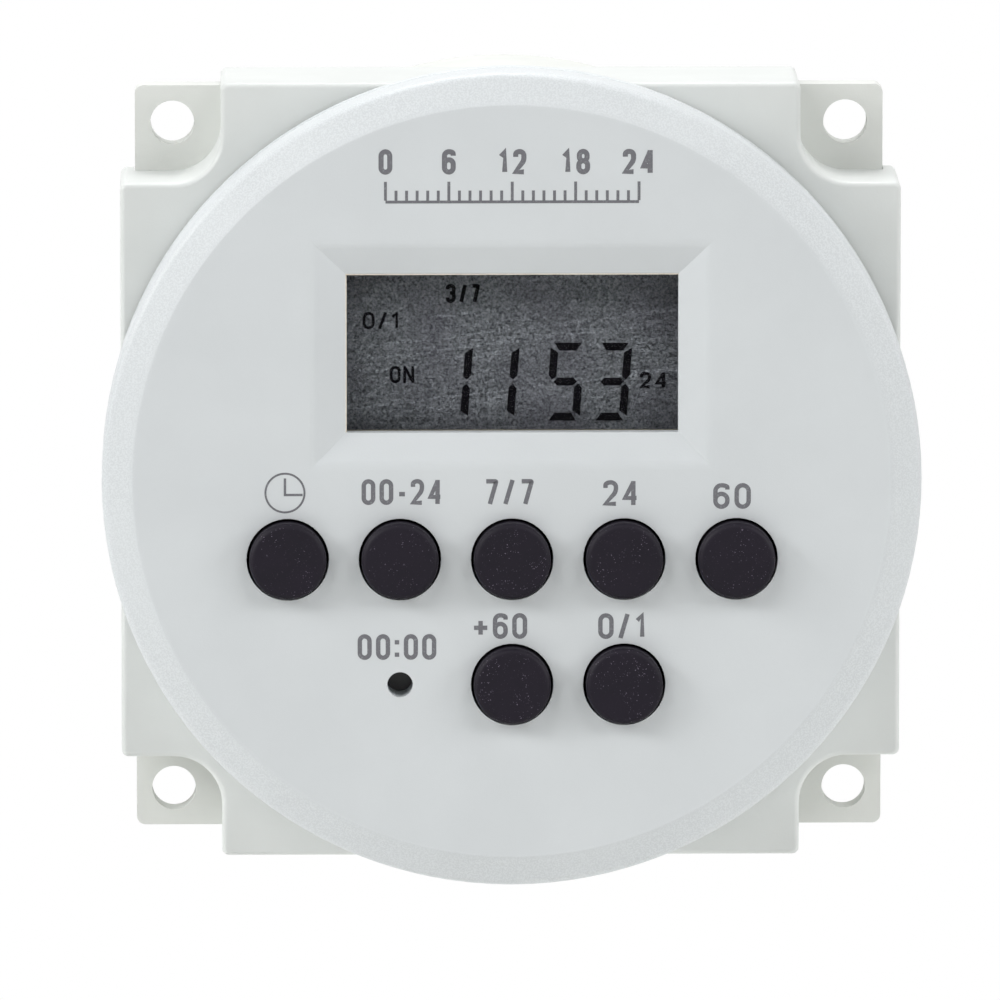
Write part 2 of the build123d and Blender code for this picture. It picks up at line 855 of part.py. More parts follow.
with BuildPart(FRONT) as battery_holder:
    with BuildSketch(front(board_back)):
        with Locations(cell_spot):
            Circle(cell_d / 2 + cell_gap + holder_wall)
    extrude(amount=-(holder_floor + cell_t * holder_h_share))
    with BuildSketch(front(board_back - holder_floor)):
        with Locations(cell_spot):
            Circle(cell_d / 2 + cell_gap)
    extrude(amount=-cell_t, mode=Mode.SUBTRACT)
    # A gap in the wall to push the cell out
    with BuildSketch(front(board_back - holder_floor)):
        with Locations((cell_spot[0], cell_spot[1] - cell_d / 2)):
            Rectangle(*(cell_d * share for share in holder_gap_share))
    extrude(amount=-cell_t, mode=Mode.SUBTRACT)
battery_holder.part.label = "battery_holder"
export_step(battery_holder.part, "parts/battery_holder.step")

with BuildPart(FRONT) as backup_battery:
    with BuildSketch(front(board_back - holder_floor)):
        with Locations(cell_spot):
            Circle(cell_d / 2)
    extrude(amount=-cell_t)
    fillet(backup_battery.edges().group_by(Axis.Y)[-1], cell_edge)
    # The smaller negative can at the board side
    with BuildSketch(front(board_back - holder_floor)):
        with Locations(cell_spot):
            Circle(cell_d / 2)
            Circle(cell_d / 2 - cell_can_rim, mode=Mode.SUBTRACT)
    extrude(amount=-cell_can_step, mode=Mode.SUBTRACT)
backup_battery.part.label = "backup_battery"
export_step(backup_battery.part, "parts/backup_battery.step")

with BuildPart(FRONT) as control_resistors:
    with BuildSketch(front(board_back)):
        with Locations(resistor_spot):
            with GridLocations(*resistor_pitch, 2, 4):
                Rectangle(*resistor_size[:2])
    extrude(amount=-resistor_size[2])
control_resistors.part.label = "control_resistors"
export_step(control_resistors.part, "parts/control_resistors.step")

with BuildPart(FRONT) as control_capacitors:
    with BuildSketch(front(board_back)):
        with Locations(ceramic_spot):
            with GridLocations(0, ceramic_pitch, 1, 4):
                Rectangle(*ceramic_size[:2])
    extrude(amount=-ceramic_size[2])
control_capacitors.part.label = "control_capacitors"
export_step(control_capacitors.part, "parts/control_capacitors.step")

# Mains board on the bosses of the barrel's back wall
power_back = barrel_back_inner + power_board_stand
power_front = power_back + board_t
power_board_r = barrel_inner_r - power_board_edge
with BuildPart(FRONT) as power_board:
    with BuildSketch(front(power_back)):
        Circle(power_board_r)
        with PolarLocations(power_screw_r, 3, start_angle=power_screw_start):
            Circle(power_hole_d / 2, mode=Mode.SUBTRACT)
        for x, z in blade_spots:
            with Locations((x, z - blade_w / 3), (x, z + blade_w / 3)):
                Rectangle(
                    blade_t + 2 * pin_clearance,
                    pin_w + 2 * pin_clearance,
                    mode=Mode.SUBTRACT,
                )
    extrude(amount=board_t)
power_board.part.label = "power_board"
export_step(power_board.part, "parts/power_board.step")

with BuildPart(FRONT) as power_board_screws:
    screw_tip = power_back - power_board_stand + power_screw_spare
    for n in range(3):
        spot = on_circle(power_screw_r, power_screw_start + 120 * n)
        with BuildSketch(section(*spot)):
            with BuildLine():
                FilletPolyline(
                    (0, power_front + power_head_t),
                    (power_head_d / 2, power_front + power_head_t),
                    (power_head_d / 2, power_front),
                    (power_shank_d / 2, power_front),
                    (power_shank_d / 2, screw_tip + power_tip_l),
                    (0, screw_tip),
                    radius=[0, power_head_t * pan_round_share, 0, 0, 0, 0],
                    close=True,
                )
            make_face()
        revolve(axis=axis_at(*spot))
power_board_screws.part.label = "power_board_screws"
export_step(power_board_screws.part, "parts/power_board_screws.step")

# Blades: a tab out of the back, shoulders inside the wall, two pins in the board
with BuildPart(FRONT) as blade_terminals:
    tip = -(barrel_depth + blade_out)
    shoulder = blade_w / 2 + blade_shoulder
    pin_a = blade_w / 3 - pin_w / 2
    pin_b = blade_w / 3 + pin_w / 2
    half_outline = [
        (0, tip),
        (blade_w / 2 - blade_tip_in, tip),
        (blade_w / 2, tip + blade_tip_l),
        (blade_w / 2, barrel_back_inner),
        (shoulder, barrel_back_inner),
        (shoulder, barrel_back_inner + blade_shoulder_h),
        (pin_b, barrel_back_inner + blade_shoulder_h),
        (pin_b, power_front + pin_out),
        (pin_a, power_front + pin_out),
        (pin_a, power_back - pin_seat),
        (0, power_back - pin_seat),
    ]
    for x, z in blade_spots:
        blade_plane = Plane((x - blade_t / 2, 0, z), x_dir=(0, 0, 1), z_dir=(1, 0, 0))
        with BuildSketch(blade_plane):
            with BuildLine():
                Polyline(*half_outline, close=True)
            make_face()
            mirror(about=Plane.YZ)
            with Locations((0, tip + blade_eye_from_tip)):
                Circle(blade_eye_d / 2, mode=Mode.SUBTRACT)
        extrude(amount=blade_t)
blade_terminals.part.label = "blade_terminals"
export_step(blade_terminals.part, "parts/blade_terminals.step")

# Sockets on both boards and the flat ribbon between them
socket_front = board_back - socket_h
socket_back = power_front + socket_h
with BuildPart(FRONT) as ribbon_sockets:
    for seat, mouth in ((board_back, socket_front), (power_front, socket_back)):
        with BuildSketch(front(seat)):
            with Locations(link_spot):
                RectangleRounded(socket_t, socket_w, socket_corner)
        extrude(amount=mouth - seat)
        grip = socket_grip if mouth < seat else -socket_grip
        with BuildSketch(front(mouth)):
            with Locations(link_spot):
                Rectangle(ribbon_t + 2 * ribbon_gap, ribbon_w + 2 * ribbon_gap)
        extrude(amount=grip, mode=Mode.SUBTRACT)
ribbon_sockets.part.label = "ribbon_sockets"
export_step(ribbon_sockets.part, "parts/ribbon_sockets.step")

with BuildPart(FRONT) as ribbon_cable:
    ribbon_end = socket_front + socket_grip - ribbon_gap
    ribbon_start = socket_back - socket_grip + ribbon_gap
    wire_pitch = ribbon_w / ribbon_wires
    with BuildSketch(front(ribbon_start)):
        with Locations(link_spot):
            Rectangle(ribbon_t / 2, ribbon_w - wire_pitch)
            with GridLocations(0, wire_pitch, 1, ribbon_wires):
                Circle(ribbon_t / 2)
    extrude(amount=ribbon_end - ribbon_start)
ribbon_cable.part.label = "ribbon_cable"
export_step(ribbon_cable.part, "parts/ribbon_cable.step")

# Film capacitor that drops the mains voltage
with BuildPart(FRONT) as dropper_capacitor:
    with BuildSketch(front(power_front)):
        with Locations(film_spot):
            RectangleRounded(film_w, film_d, film_corner)
    extrude(amount=film_h)
    fillet(dropper_capacitor.edges().group_by(Axis.Y)[0], film_edge)
dropper_capacitor.part.label = "dropper_capacitor"
export_step(dropper_capacitor.part, "parts/dropper_capacitor.step")

# Electrolytic can with the groove that holds its bung
with BuildPart(FRONT) as smoothing_capacitor:
    can_r = can_d / 2
    groove_mid = power_front + can_groove_h
    with BuildSketch(section(*can_spot)):
        with BuildLine():
            FilletPolyline(
                (0, power_front),
                (can_r, power_front),
                (can_r, groove_mid - can_groove_depth),
                (can_r - can_groove_depth, groove_mid),
                (can_r, groove_mid + can_groove_depth),
                (can_r, power_front + can_h),
                (0, power_front + can_h),
                radius=[0, can_bend, can_bend, can_bend, can_bend, can_edge, 0],
                close=True,
            )
        make_face()
    revolve(axis=axis_at(*can_spot))
smoothing_capacitor.part.label = "smoothing_capacitor"
export_step(smoothing_capacitor.part, "parts/smoothing_capacitor.step")

# Varistor disc standing on two leads
with BuildPart(FRONT) as surge_varistor:
    disc_h = power_front + varistor_stand + varistor_d / 2
    with BuildSketch(Plane.YZ.offset(varistor_spot[0] - varistor_t / 2)):
        with Locations((-disc_h, varistor_spot[1])):
            Circle(varistor_d / 2)
    extrude(amount=varistor_t)
    fillet(surge_varistor.edges(), varistor_round)
    with BuildSketch(front(power_front)):
        with Locations(varistor_spot):
            with GridLocations(0, varistor_lead_pitch, 1, 2):
                Circle(lead_pin_d / 2)
    extrude(amount=disc_h - power_front)
surge_varistor.part.label = "surge_varistor"
export_step(surge_varistor.part, "parts/surge_varistor.step")


def axial(plane, across, height, body_d, body_l, reach):
    """A round body lying over the board on the leads that run out of its ends."""
    for radius, half in ((body_d / 2, body_l / 2), (lead_d / 2, reach)):
        with BuildSketch(plane.offset(-half)) as profile:
            with Locations((across, height)):
                Circle(radius)
        extrude(profile.sketch, amount=2 * half)


# Fusible resistor and the four rectifier diodes
with BuildPart(FRONT) as fusible_resistor:
    x, z, body_d, body_l = resistor_body
    lift = power_front + body_d / 2 + body_stand
    reach = body_l / 2 + lead_reach
    axial(Plane.YZ.offset(x), -lift, z, body_d, body_l, reach + lead_d / 2)
    with BuildSketch(front(power_front)):
        with Locations((x - reach, z), (x + reach, z)):
            Circle(lead_pin_d / 2)
    extrude(amount=lift - power_front)
fusible_resistor.part.label = "fusible_resistor"
export_step(fusible_resistor.part, "parts/fusible_resistor.step")

with BuildPart(FRONT) as rectifier_diodes:
    lift = power_front + diode_d / 2 + body_stand
    reach = diode_l / 2 + lead_reach / 2
    for x, z in diode_spots:
        axial(Plane.XY.offset(z), x, -lift, diode_d, diode_l, reach + lead_d / 2)
        with BuildSketch(front(power_front)):
            with Locations((x, z - reach), (x, z + reach)):
                Circle(lead_pin_d / 2)
        extrude(amount=lift - power_front)
rectifier_diodes.part.label = "rectifier_diodes"
export_step(rectifier_diodes.part, "parts/rectifier_diodes.step")

# Relay: heights over the mains board, lengths from the relay's left end
relay_left = relay_spot[0] - relay_l / 2
relay_inner_l = relay_l - 2 * relay_skin
relay_inner_w = relay_w - 2 * relay_skin
limb_left = relay_left + yoke_from_end
hinge_x = limb_left + yoke_t
hinge_z = relay_spot[1]
coil_x = hinge_x + coil_from_yoke
contact_x = hinge_x + contact_from_hinge
base_top = power_front + relay_base_t
bobbin_seat = base_top + yoke_t
pole_top = bobbin_seat + bobbin_h + pole_t
armature_back = pole_top + armature_gap
leaf_back = armature_back + armature_t
leaf_end = contact_x + contact_r + leaf_past_contact
make_front = leaf_back - contact_t - contact_gap
break_back = leaf_back + leaf_t + contact_t + contact_rest_gap


def side(width):
    """The relay's plane of length and height, at half a width beyond its middle."""
    return Plane((0, 0, hinge_z + width / 2), x_dir=(1, 0, 0), z_dir=(0, 0, -1))


with BuildPart(FRONT) as relay_base:
    with BuildSketch(front(power_front)):
        with Locations(relay_spot):
            Rectangle(relay_inner_l - 2 * relay_fit, relay_inner_w - 2 * relay_fit)
    extrude(amount=relay_base_t)
    chamfer(relay_base.edges().filter_by(Axis.Y), relay_base_corner)
relay_base.part.label = "relay_base"
export_step(relay_base.part, "parts/relay_base.step")

with BuildPart(FRONT) as relay_cover:
    with BuildSketch(front(power_front)):
        with Locations(relay_spot):
            RectangleRounded(relay_l, relay_w, relay_corner)
    extrude(amount=relay_h)
    fillet(relay_cover.edges().group_by(Axis.Y)[0], relay_top_round)
    with BuildSketch(front(power_front)):
        with Locations(relay_spot):
            Rectangle(relay_inner_l, relay_inner_w)
    extrude(amount=relay_h - relay_skin, mode=Mode.SUBTRACT)
relay_cover.part.label = "relay_cover"
export_step(relay_cover.part, "parts/relay_cover.step")

# Iron yoke: one limb under the coil, one up its side to the hinge
with BuildPart(FRONT) as relay_yoke:
    with BuildSketch(side(yoke_w)):
        with BuildLine():
            FilletPolyline(
                (limb_left, base_top),
                (coil_x + pole_r, base_top),
                (coil_x + pole_r, bobbin_seat),
                (hinge_x, bobbin_seat),
                (hinge_x, armature_back - hinge_play),
                (limb_left, armature_back - hinge_play),
                radius=[yoke_t * yoke_bend_share, 0, 0, 0, 0, 0],
                close=True,
            )
        make_face()
    extrude(amount=yoke_w)
relay_yoke.part.label = "relay_yoke"
export_step(relay_yoke.part, "parts/relay_yoke.step")

with BuildPart(FRONT) as relay_core:
    with BuildSketch(front(bobbin_seat)):
        with Locations((coil_x, hinge_z)):
            Circle(core_r)
    extrude(amount=bobbin_h)
    with BuildSketch(front(bobbin_seat + bobbin_h)):
        with Locations((coil_x, hinge_z)):
            Circle(pole_r)
    extrude(amount=pole_t)
relay_core.part.label = "relay_core"
export_step(relay_core.part, "parts/relay_core.step")

with BuildPart(FRONT) as relay_bobbin:
    flange_back = bobbin_seat + bobbin_flange_t
    flange_front = bobbin_seat + bobbin_h - bobbin_flange_t
    with BuildSketch(section(coil_x, hinge_z)):
        with BuildLine():
            Polyline(
                (core_r + relay_fit, bobbin_seat),
                (bobbin_r, bobbin_seat),
                (bobbin_r, flange_back),
                (bobbin_tube_r, flange_back),
                (bobbin_tube_r, flange_front),
                (bobbin_r, flange_front),
                (bobbin_r, bobbin_seat + bobbin_h),
                (core_r + relay_fit, bobbin_seat + bobbin_h),
                close=True,
            )
        make_face()
    revolve(axis=axis_at(coil_x, hinge_z))
relay_bobbin.part.label = "relay_bobbin"
export_step(relay_bobbin.part, "parts/relay_bobbin.step")

with BuildPart(FRONT) as relay_coil:
    with BuildSketch(section(coil_x, hinge_z)):
        with BuildLine():
            FilletPolyline(
                (bobbin_tube_r + relay_fit, flange_back + relay_fit),
                (coil_r, flange_back + relay_fit),
                (coil_r, flange_front - relay_fit),
                (bobbin_tube_r + relay_fit, flange_front - relay_fit),
                radius=[0, coil_edge, coil_edge, 0],
                close=True,
            )
        make_face()
    revolve(axis=axis_at(coil_x, hinge_z))
relay_coil.part.label = "relay_coil"
export_step(relay_coil.part, "parts/relay_coil.step")

# Moving armature, hinged on the yoke's inner top edge, with its contact leaf
with BuildPart(FRONT) as relay_armature:
    with BuildSketch(front(armature_back)):
        reach = coil_x + pole_r + armature_past_pole - limb_left
        with Locations((limb_left + reach / 2, hinge_z)):
            Rectangle(reach, yoke_w)
    extrude(amount=armature_t)
    chamfer(relay_armature.edges().filter_by(Axis.Y), armature_corner)
relay_armature.part.label = "relay_armature"
export_step(relay_armature.part, "parts/relay_armature.step")

with BuildPart(FRONT) as relay_contact_spring:
    with BuildSketch(front(leaf_back)):
        leaf_start = coil_x - pole_r
        with Locations(((leaf_start + leaf_end) / 2, hinge_z)):
            Rectangle(leaf_end - leaf_start, leaf_w)
    extrude(amount=leaf_t)
    chamfer(relay_contact_spring.edges().filter_by(Axis.Y), leaf_corner)
    with BuildSketch(front(leaf_back - contact_t)):
        with Locations((contact_x, hinge_z)):
            Circle(contact_r)
    extrude(amount=2 * contact_t + leaf_t)
    # Two rivets into the armature
    with BuildSketch(front(leaf_back + leaf_t)):
        with Locations((coil_x, hinge_z)):
            with GridLocations(rivet_pitch, 0, 2, 1):
                Circle(rivet_r)
    extrude(amount=rivet_h)
relay_contact_spring.part.label = "relay_contact_spring"
export_step(relay_contact_spring.part, "parts/relay_contact_spring.step")

# Fixed contacts: one below that makes, one above that breaks
strip_left = contact_x - contact_r
make_leg = leaf_end + contact_strip_gap + contact_strip_t
break_leg = make_leg + 2 * contact_strip_t
make_back = make_front - contact_t
with BuildPart(FRONT) as relay_fixed_contacts:
    for leg, strip_back, button in (
        (make_leg, make_back - contact_strip_t, make_back),
        (break_leg, break_back + contact_t, break_back),
    ):
        with BuildSketch(side(contact_strip_w)):
            with BuildLine():
                Polyline(
                    (strip_left, strip_back),
                    (leg - contact_strip_t, strip_back),
                    (leg - contact_strip_t, base_top),
                    (leg, base_top),
                    (leg, strip_back + contact_strip_t),
                    (strip_left, strip_back + contact_strip_t),
                    close=True,
                )
            make_face()
        extrude(amount=contact_strip_w)
        with BuildSketch(front(button)):
            with Locations((contact_x, hinge_z)):
                Circle(contact_r)
        extrude(amount=contact_t)
relay_fixed_contacts.part.label = "relay_fixed_contacts"
export_step(relay_fixed_contacts.part, "parts/relay_fixed_contacts.step")
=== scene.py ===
import json
import logging
import math
from dataclasses import dataclass, field
from enum import Enum

import bmesh
import bpy
from mathutils import Matrix, Vector
from mathutils.geometry import interpolate_bezier


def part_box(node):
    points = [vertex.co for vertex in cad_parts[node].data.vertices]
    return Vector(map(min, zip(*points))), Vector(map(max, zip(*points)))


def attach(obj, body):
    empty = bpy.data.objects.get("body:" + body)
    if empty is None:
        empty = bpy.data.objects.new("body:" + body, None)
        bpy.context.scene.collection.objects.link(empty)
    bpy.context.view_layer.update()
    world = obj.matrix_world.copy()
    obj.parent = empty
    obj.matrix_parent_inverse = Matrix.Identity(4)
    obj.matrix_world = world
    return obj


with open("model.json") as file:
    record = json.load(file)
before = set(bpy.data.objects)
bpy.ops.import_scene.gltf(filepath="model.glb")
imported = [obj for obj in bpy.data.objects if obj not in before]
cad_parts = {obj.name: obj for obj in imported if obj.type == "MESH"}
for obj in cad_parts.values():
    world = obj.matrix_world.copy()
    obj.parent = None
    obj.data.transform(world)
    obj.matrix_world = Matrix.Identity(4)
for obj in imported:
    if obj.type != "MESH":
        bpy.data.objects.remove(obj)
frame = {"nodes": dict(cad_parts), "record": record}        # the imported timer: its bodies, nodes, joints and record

# The electronic timer's looks, in metres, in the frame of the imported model:
# the panel is the plane y = 0, the front looks along -Y and +Z is up.

LOG = logging.getLogger("timer")
MM = 0.001
# The body that stays still, which every added piece rides on
MODULE = "module"
# How far print stands off the face that it is printed on
INK_LIFT = 0.012 * MM
# A Mix node's two colour inputs and its colour output, by number
MIX_A, MIX_B, MIX_COLOUR = 6, 7, 2
# How far the handles of a quarter circle reach, as a share of its radius
ARC_HANDLE = 0.5523
# Points of a path that are nearer than this are one
SAME_POINT = 1e-4 * MM
# At a sharp bend a ribbon's corner reaches out by half its width over this, at most
MITRE_LIMIT = 0.62
# How wide a character's strokes are, as a share of its height
STROKE_WEIGHT = 0.17
# The gap between two characters, in widths of a stroke
CHARACTER_GAP = 0.95
# How much higher each further stroke of a character stands, as a share of the first
STROKE_STEP = 0.12


class Facing(Enum):
    """Which way a printed or raised sign is read from."""

    FRONT = "front"
    BACK = "back"

    def turn(self) -> Matrix:
        """Finds the turn from flat lettering in X and Y to this side of the timer.

        Returns:
            The turn.
        """
        upright = Matrix.Rotation(math.radians(90), 4, "X")
        if self is Facing.FRONT:
            return upright
        return Matrix.Rotation(math.radians(180), 4, "Z") @ upright


# Colours and material nodes

def linear(code: str) -> tuple[float, float, float, float]:
    """Turns an sRGB hex colour into linear RGBA.

    Args:
        code: The colour as six hex digits.

    Returns:
        Red, green, blue and an alpha of 1, for a shader's colour socket.
    """
    channels = [int(code[i:i + 2], 16) / 255 for i in (0, 2, 4)]
    curved = [
        c / 12.92 if c <= 0.04045 else ((c + 0.055) / 1.055) ** 2.4 for c in channels
    ]
    return (*curved, 1.0)


def feed(node: bpy.types.Node, inputs: dict) -> bpy.types.Node:
    """Fills a node's inputs.

    Args:
        node: The node.
        inputs: What each input gets, by name or number. A socket is linked to it, and
            anything else becomes its value.

    Returns:
        The same node.
    """
    for key, value in inputs.items():
        if isinstance(value, bpy.types.NodeSocket):
            node.id_data.links.new(value, node.inputs[key])
        else:
            node.inputs[key].default_value = value
    return node


def add_node(
    tree: bpy.types.NodeTree, kind: str, inputs: dict, **settings: object
) -> bpy.types.Node:
    """Adds a node with its settings and what feeds it.

    Args:
        tree: The node tree that the node joins.
        kind: The node's type, such as ShaderNodeTexNoise.
        inputs: What each input gets, by name or number.
        **settings: The node's properties.

    Returns:
        The new node.
    """
    node = tree.nodes.new(kind)
    for name, value in settings.items():
        setattr(node, name, value)
    return feed(node, inputs)


@dataclass
class Coat:
    """A material while its nodes are being put together."""

    name: str
    material: bpy.types.Material = field(init=False)
    tree: bpy.types.NodeTree = field(init=False)
    shader: bpy.types.Node = field(init=False)
    place: bpy.types.NodeSocket = field(init=False)

    def __post_init__(self) -> None:
        """Starts the material with one Principled shader and its coordinates."""
        self.material = bpy.data.materials.new(self.name)
        self.material.use_nodes = True
        self.tree = self.material.node_tree
        self.shader = self.tree.nodes["Principled BSDF"]
        coordinates = add_node(self.tree, "ShaderNodeTexCoord", {})
        self.place = coordinates.outputs["Object"]

    def add(
        self, kind: str, inputs: dict, output: int | str = 0, **settings: object
    ) -> bpy.types.NodeSocket:
        """Adds a node. A texture reads the object's coordinates if nothing else.

        Args:
            kind: The node's type, such as ShaderNodeTexNoise.
            inputs: What each input gets, by name or number.
            output: The output that is wanted, by number or name.
            **settings: The node's properties.

        Returns:
            That output's socket.
        """
        if kind.startswith("ShaderNodeTex"):
            inputs = {"Vector": self.place, **inputs}
        return add_node(self.tree, kind, inputs, **settings).outputs[output]

    def finish(
        self,
        inputs: dict,
        height: bpy.types.NodeSocket | None = None,
        depth_mm: float = 0.0,
    ) -> bpy.types.Material:
        """Fills the shader's inputs and raises the surface by a pattern.

        Args:
            inputs: What each of the shader's inputs gets, by name.
            height: The pattern, from 0 to about 1, if there is one.
            depth_mm: How far a height of 1 raises the surface.

        Returns:
            The finished material.
        """
        feed(self.shader, inputs)
        if height is not None:
            bump = {"Strength": 1.0, "Distance": depth_mm * MM, "Height": height}
            feed(self.shader, {"Normal": self.add("ShaderNodeBump", bump)})
        return self.material


# Finishes. Noise lies mostly between 0.3 and 0.7: a span that is read inside that
# gives soft patches, and one near its upper end gives specks.

@dataclass(frozen=True)
class Moulded:
    """A moulded polymer: an even colour with faint flow clouds and a tool's grain."""

    name: str
    colour: str
    cloud: str
    roughness: float
    grain_mm: float = 0.16
    grain_depth_mm: float = 0.006
    cloud_mm: float = 9.0
    ior: float = 1.53
    sheen: float = 0.5
    # How far the roughness wanders to either side
    wander: float = 0.05

    def surface(
        self, coat: Coat, cloud: bpy.types.NodeSocket
    ) -> tuple[bpy.types.NodeSocket, bpy.types.NodeSocket]:
        """Adds the nodes for the colour and the grain.

        Args:
            coat: The material that is being put together.
            cloud: The noise of the flow clouds.

        Returns:
            The colour and the grain's height.
        """
        share = coat.add(
            "ShaderNodeMapRange", {"Value": cloud, "From Min": 0.35, "From Max": 0.65}
        )
        colour = coat.add(
            "ShaderNodeMix",
            {0: share, MIX_A: linear(self.colour), MIX_B: linear(self.cloud)},
            MIX_COLOUR, data_type="RGBA",
        )
        grain = coat.add(
            "ShaderNodeTexNoise", {"Scale": 1 / (self.grain_mm * MM), "Detail": 1.0}
        )
        return colour, grain

    def material(self) -> bpy.types.Material:
        """Makes the material.

        Returns:
            The material.
        """
        coat = Coat(self.name)
        cloud = coat.add(
            "ShaderNodeTexNoise", {"Scale": 1 / (self.cloud_mm * MM), "Detail": 2.0}
        )
        colour, height = self.surface(coat, cloud)
        rough = coat.add("ShaderNodeMapRange", {
            "Value": cloud, "From Min": 0.3, "From Max": 0.7,
            "To Min": self.roughness - self.wander,
            "To Max": self.roughness + self.wander,
        })
        shader = {
            "Base Color": colour, "Roughness": rough, "IOR": self.ior,
            "Specular IOR Level": self.sheen,
        }
        return coat.finish(shader, height, self.grain_depth_mm)


@dataclass(frozen=True)
class LintyRubber(Moulded):
    """Moulded rubber that has picked up lint, thicker in some places."""

    lint: str = "787080"
    lint_mm: float = 0.12
    patch_mm: float = 2.2

    def surface(
        self, coat: Coat, cloud: bpy.types.NodeSocket
    ) -> tuple[bpy.types.NodeSocket, bpy.types.NodeSocket]:
        """Adds the lint to the rubber's colour.

        Args:
            coat: The material that is being put together.
            cloud: The noise of the flow clouds.

        Returns:
            The colour and the grain's height.
        """
        colour, grain = super().surface(coat, cloud)
        fluff = coat.add(
            "ShaderNodeTexNoise", {"Scale": 1 / (self.lint_mm * MM), "Detail": 0.0}
        )
        specks = coat.add(
            "ShaderNodeMapRange", {"Value": fluff, "From Min": 0.77, "From Max": 0.82}
        )
        patch = coat.add(
            "ShaderNodeTexNoise", {"Scale": 1 / (self.patch_mm * MM), "Detail": 1.0}
        )
        amount = coat.add("ShaderNodeMapRange", {
            "Value": patch, "From Min": 0.45, "From Max": 0.65,
            "To Min": 0.1, "To Max": 0.8,
        })
        share = coat.add("ShaderNodeMath", {0: specks, 1: amount}, operation="MULTIPLY")
        colour = coat.add(
            "ShaderNodeMix", {0: share, MIX_A: colour, MIX_B: linear(self.lint)},
            MIX_COLOUR, data_type="RGBA",
        )
        return colour, grain


@dataclass(frozen=True)
class SparkedRim(Moulded):
    """A moulding with a band on its front that the tool's spark erosion left coarse, its sparks painted a paler grey
    as painted glints.
    """

    # The sparks' paler grey: painted glints
    spark: str = "DADEE0"
    spark_mm: float = 0.15
    # The radii between which the band sets in
    band_mm: tuple[float, float] = (33.9, 34.7)
    # How high a spark stands, as a share of the grain
    spark_height: float = 0.6

    def surface(
        self, coat: Coat, cloud: bpy.types.NodeSocket
    ) -> tuple[bpy.types.NodeSocket, bpy.types.NodeSocket]:
        """Adds the band's coarse sparks, which the smooth face hasn't got: real relief, with a paler grey on them as
        painted glints.

        Args:
            coat: The material that is being put together.
            cloud: The noise of the flow clouds.

        Returns:
            The colour and the grain's height.
        """
        colour, grain = super().surface(coat, cloud)
        flat = coat.add(
            "ShaderNodeVectorMath", {0: coat.place, 1: (1, 0, 1)}, operation="MULTIPLY"
        )
        radius = coat.add("ShaderNodeVectorMath", {0: flat}, "Value", operation="LENGTH")
        inner, outer = (r * MM for r in self.band_mm)
        band = coat.add(
            "ShaderNodeMapRange", {"Value": radius, "From Min": inner, "From Max": outer}
        )
        coarse = coat.add(
            "ShaderNodeTexNoise", {"Scale": 1 / (self.spark_mm * MM), "Detail": 1.0}
        )
        spark_relief_and_glints = coat.add(
            "ShaderNodeMapRange", {"Value": coarse, "From Min": 0.40, "From Max": 0.62}
        )
        share = coat.add("ShaderNodeMath", {0: spark_relief_and_glints, 1: band}, operation="MULTIPLY")
        # Painted glints: the sparks take the paler grey
        colour = coat.add(
            "ShaderNodeMix", {0: share, MIX_A: colour, MIX_B: linear(self.spark)},
            MIX_COLOUR, data_type="RGBA",
        )
        height = coat.add(
            "ShaderNodeMath", {0: share, 1: self.spark_height, 2: grain},
            operation="MULTIPLY_ADD",
        )
        return colour, height


@dataclass(frozen=True)
class Metal:
    """A rolled, drawn or plated metal: fine lines along one way and soft stains."""

    name: str
    colour: str
    stain: str
    roughness: float
    line_mm: float = 0.12
    # How much each axis is packed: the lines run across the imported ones
    along: tuple[float, float, float] = (1.0, 14.0, 1.0)
    # A line's length, as a multiple of line_mm
    line_length: float = 4.0
    line_depth_mm: float = 0.003
    stain_mm: float = 3.0

    def material(self) -> bpy.types.Material:
        """Makes the material.

        Returns:
            The material.
        """
        coat = Coat(self.name)
        drawn = coat.add("ShaderNodeMapping", {"Vector": coat.place, "Scale": self.along})
        length = self.line_length * self.line_mm * MM
        lines = coat.add(
            "ShaderNodeTexNoise", {"Vector": drawn, "Scale": 1 / length, "Detail": 3.0}
        )
        patch = coat.add(
            "ShaderNodeTexNoise", {"Scale": 1 / (self.stain_mm * MM), "Detail": 3.0}
        )
        share = coat.add(
            "ShaderNodeMapRange",
            {"Value": patch, "From Min": 0.45, "From Max": 0.7, "To Max": 0.7},
        )
        colour = coat.add(
            "ShaderNodeMix",
            {0: share, MIX_A: linear(self.colour), MIX_B: linear(self.stain)},
            MIX_COLOUR, data_type="RGBA",
        )
        rough = coat.add("ShaderNodeMapRange", {
            "Value": lines, "From Min": 0.3, "From Max": 0.7,
            "To Min": self.roughness - 0.08, "To Max": self.roughness + 0.10,
        })
        shader = {"Base Color": colour, "Roughness": rough, "Metallic": 1.0}
        return coat.finish(shader, lines, self.line_depth_mm)


@dataclass(frozen=True)
class Pane:
    """A thin clear sheet: mostly seen through, with a faint hazy mirror."""

    name: str
    tint: str
    # How much of what lies behind it the sheet hides
    cover: float
    roughness: float
    haze_mm: float = 12.0
    ior: float = 1.49

    def material(self) -> bpy.types.Material:
        """Makes the material. Its haze varies a little, as a wiped window's does.

        Returns:
            The material.
        """
        coat = Coat(self.name)
        haze = coat.add(
            "ShaderNodeTexNoise", {"Scale": 1 / (self.haze_mm * MM), "Detail": 0.0}
        )
        rough = coat.add("ShaderNodeMapRange", {
            "Value": haze, "From Min": 0.35, "From Max": 0.65,
            "To Min": self.roughness, "To Max": self.roughness + 0.04,
        })
        return coat.finish({
            "Base Color": linear(self.tint), "Roughness": rough, "IOR": self.ior,
            "Alpha": self.cover,
        })


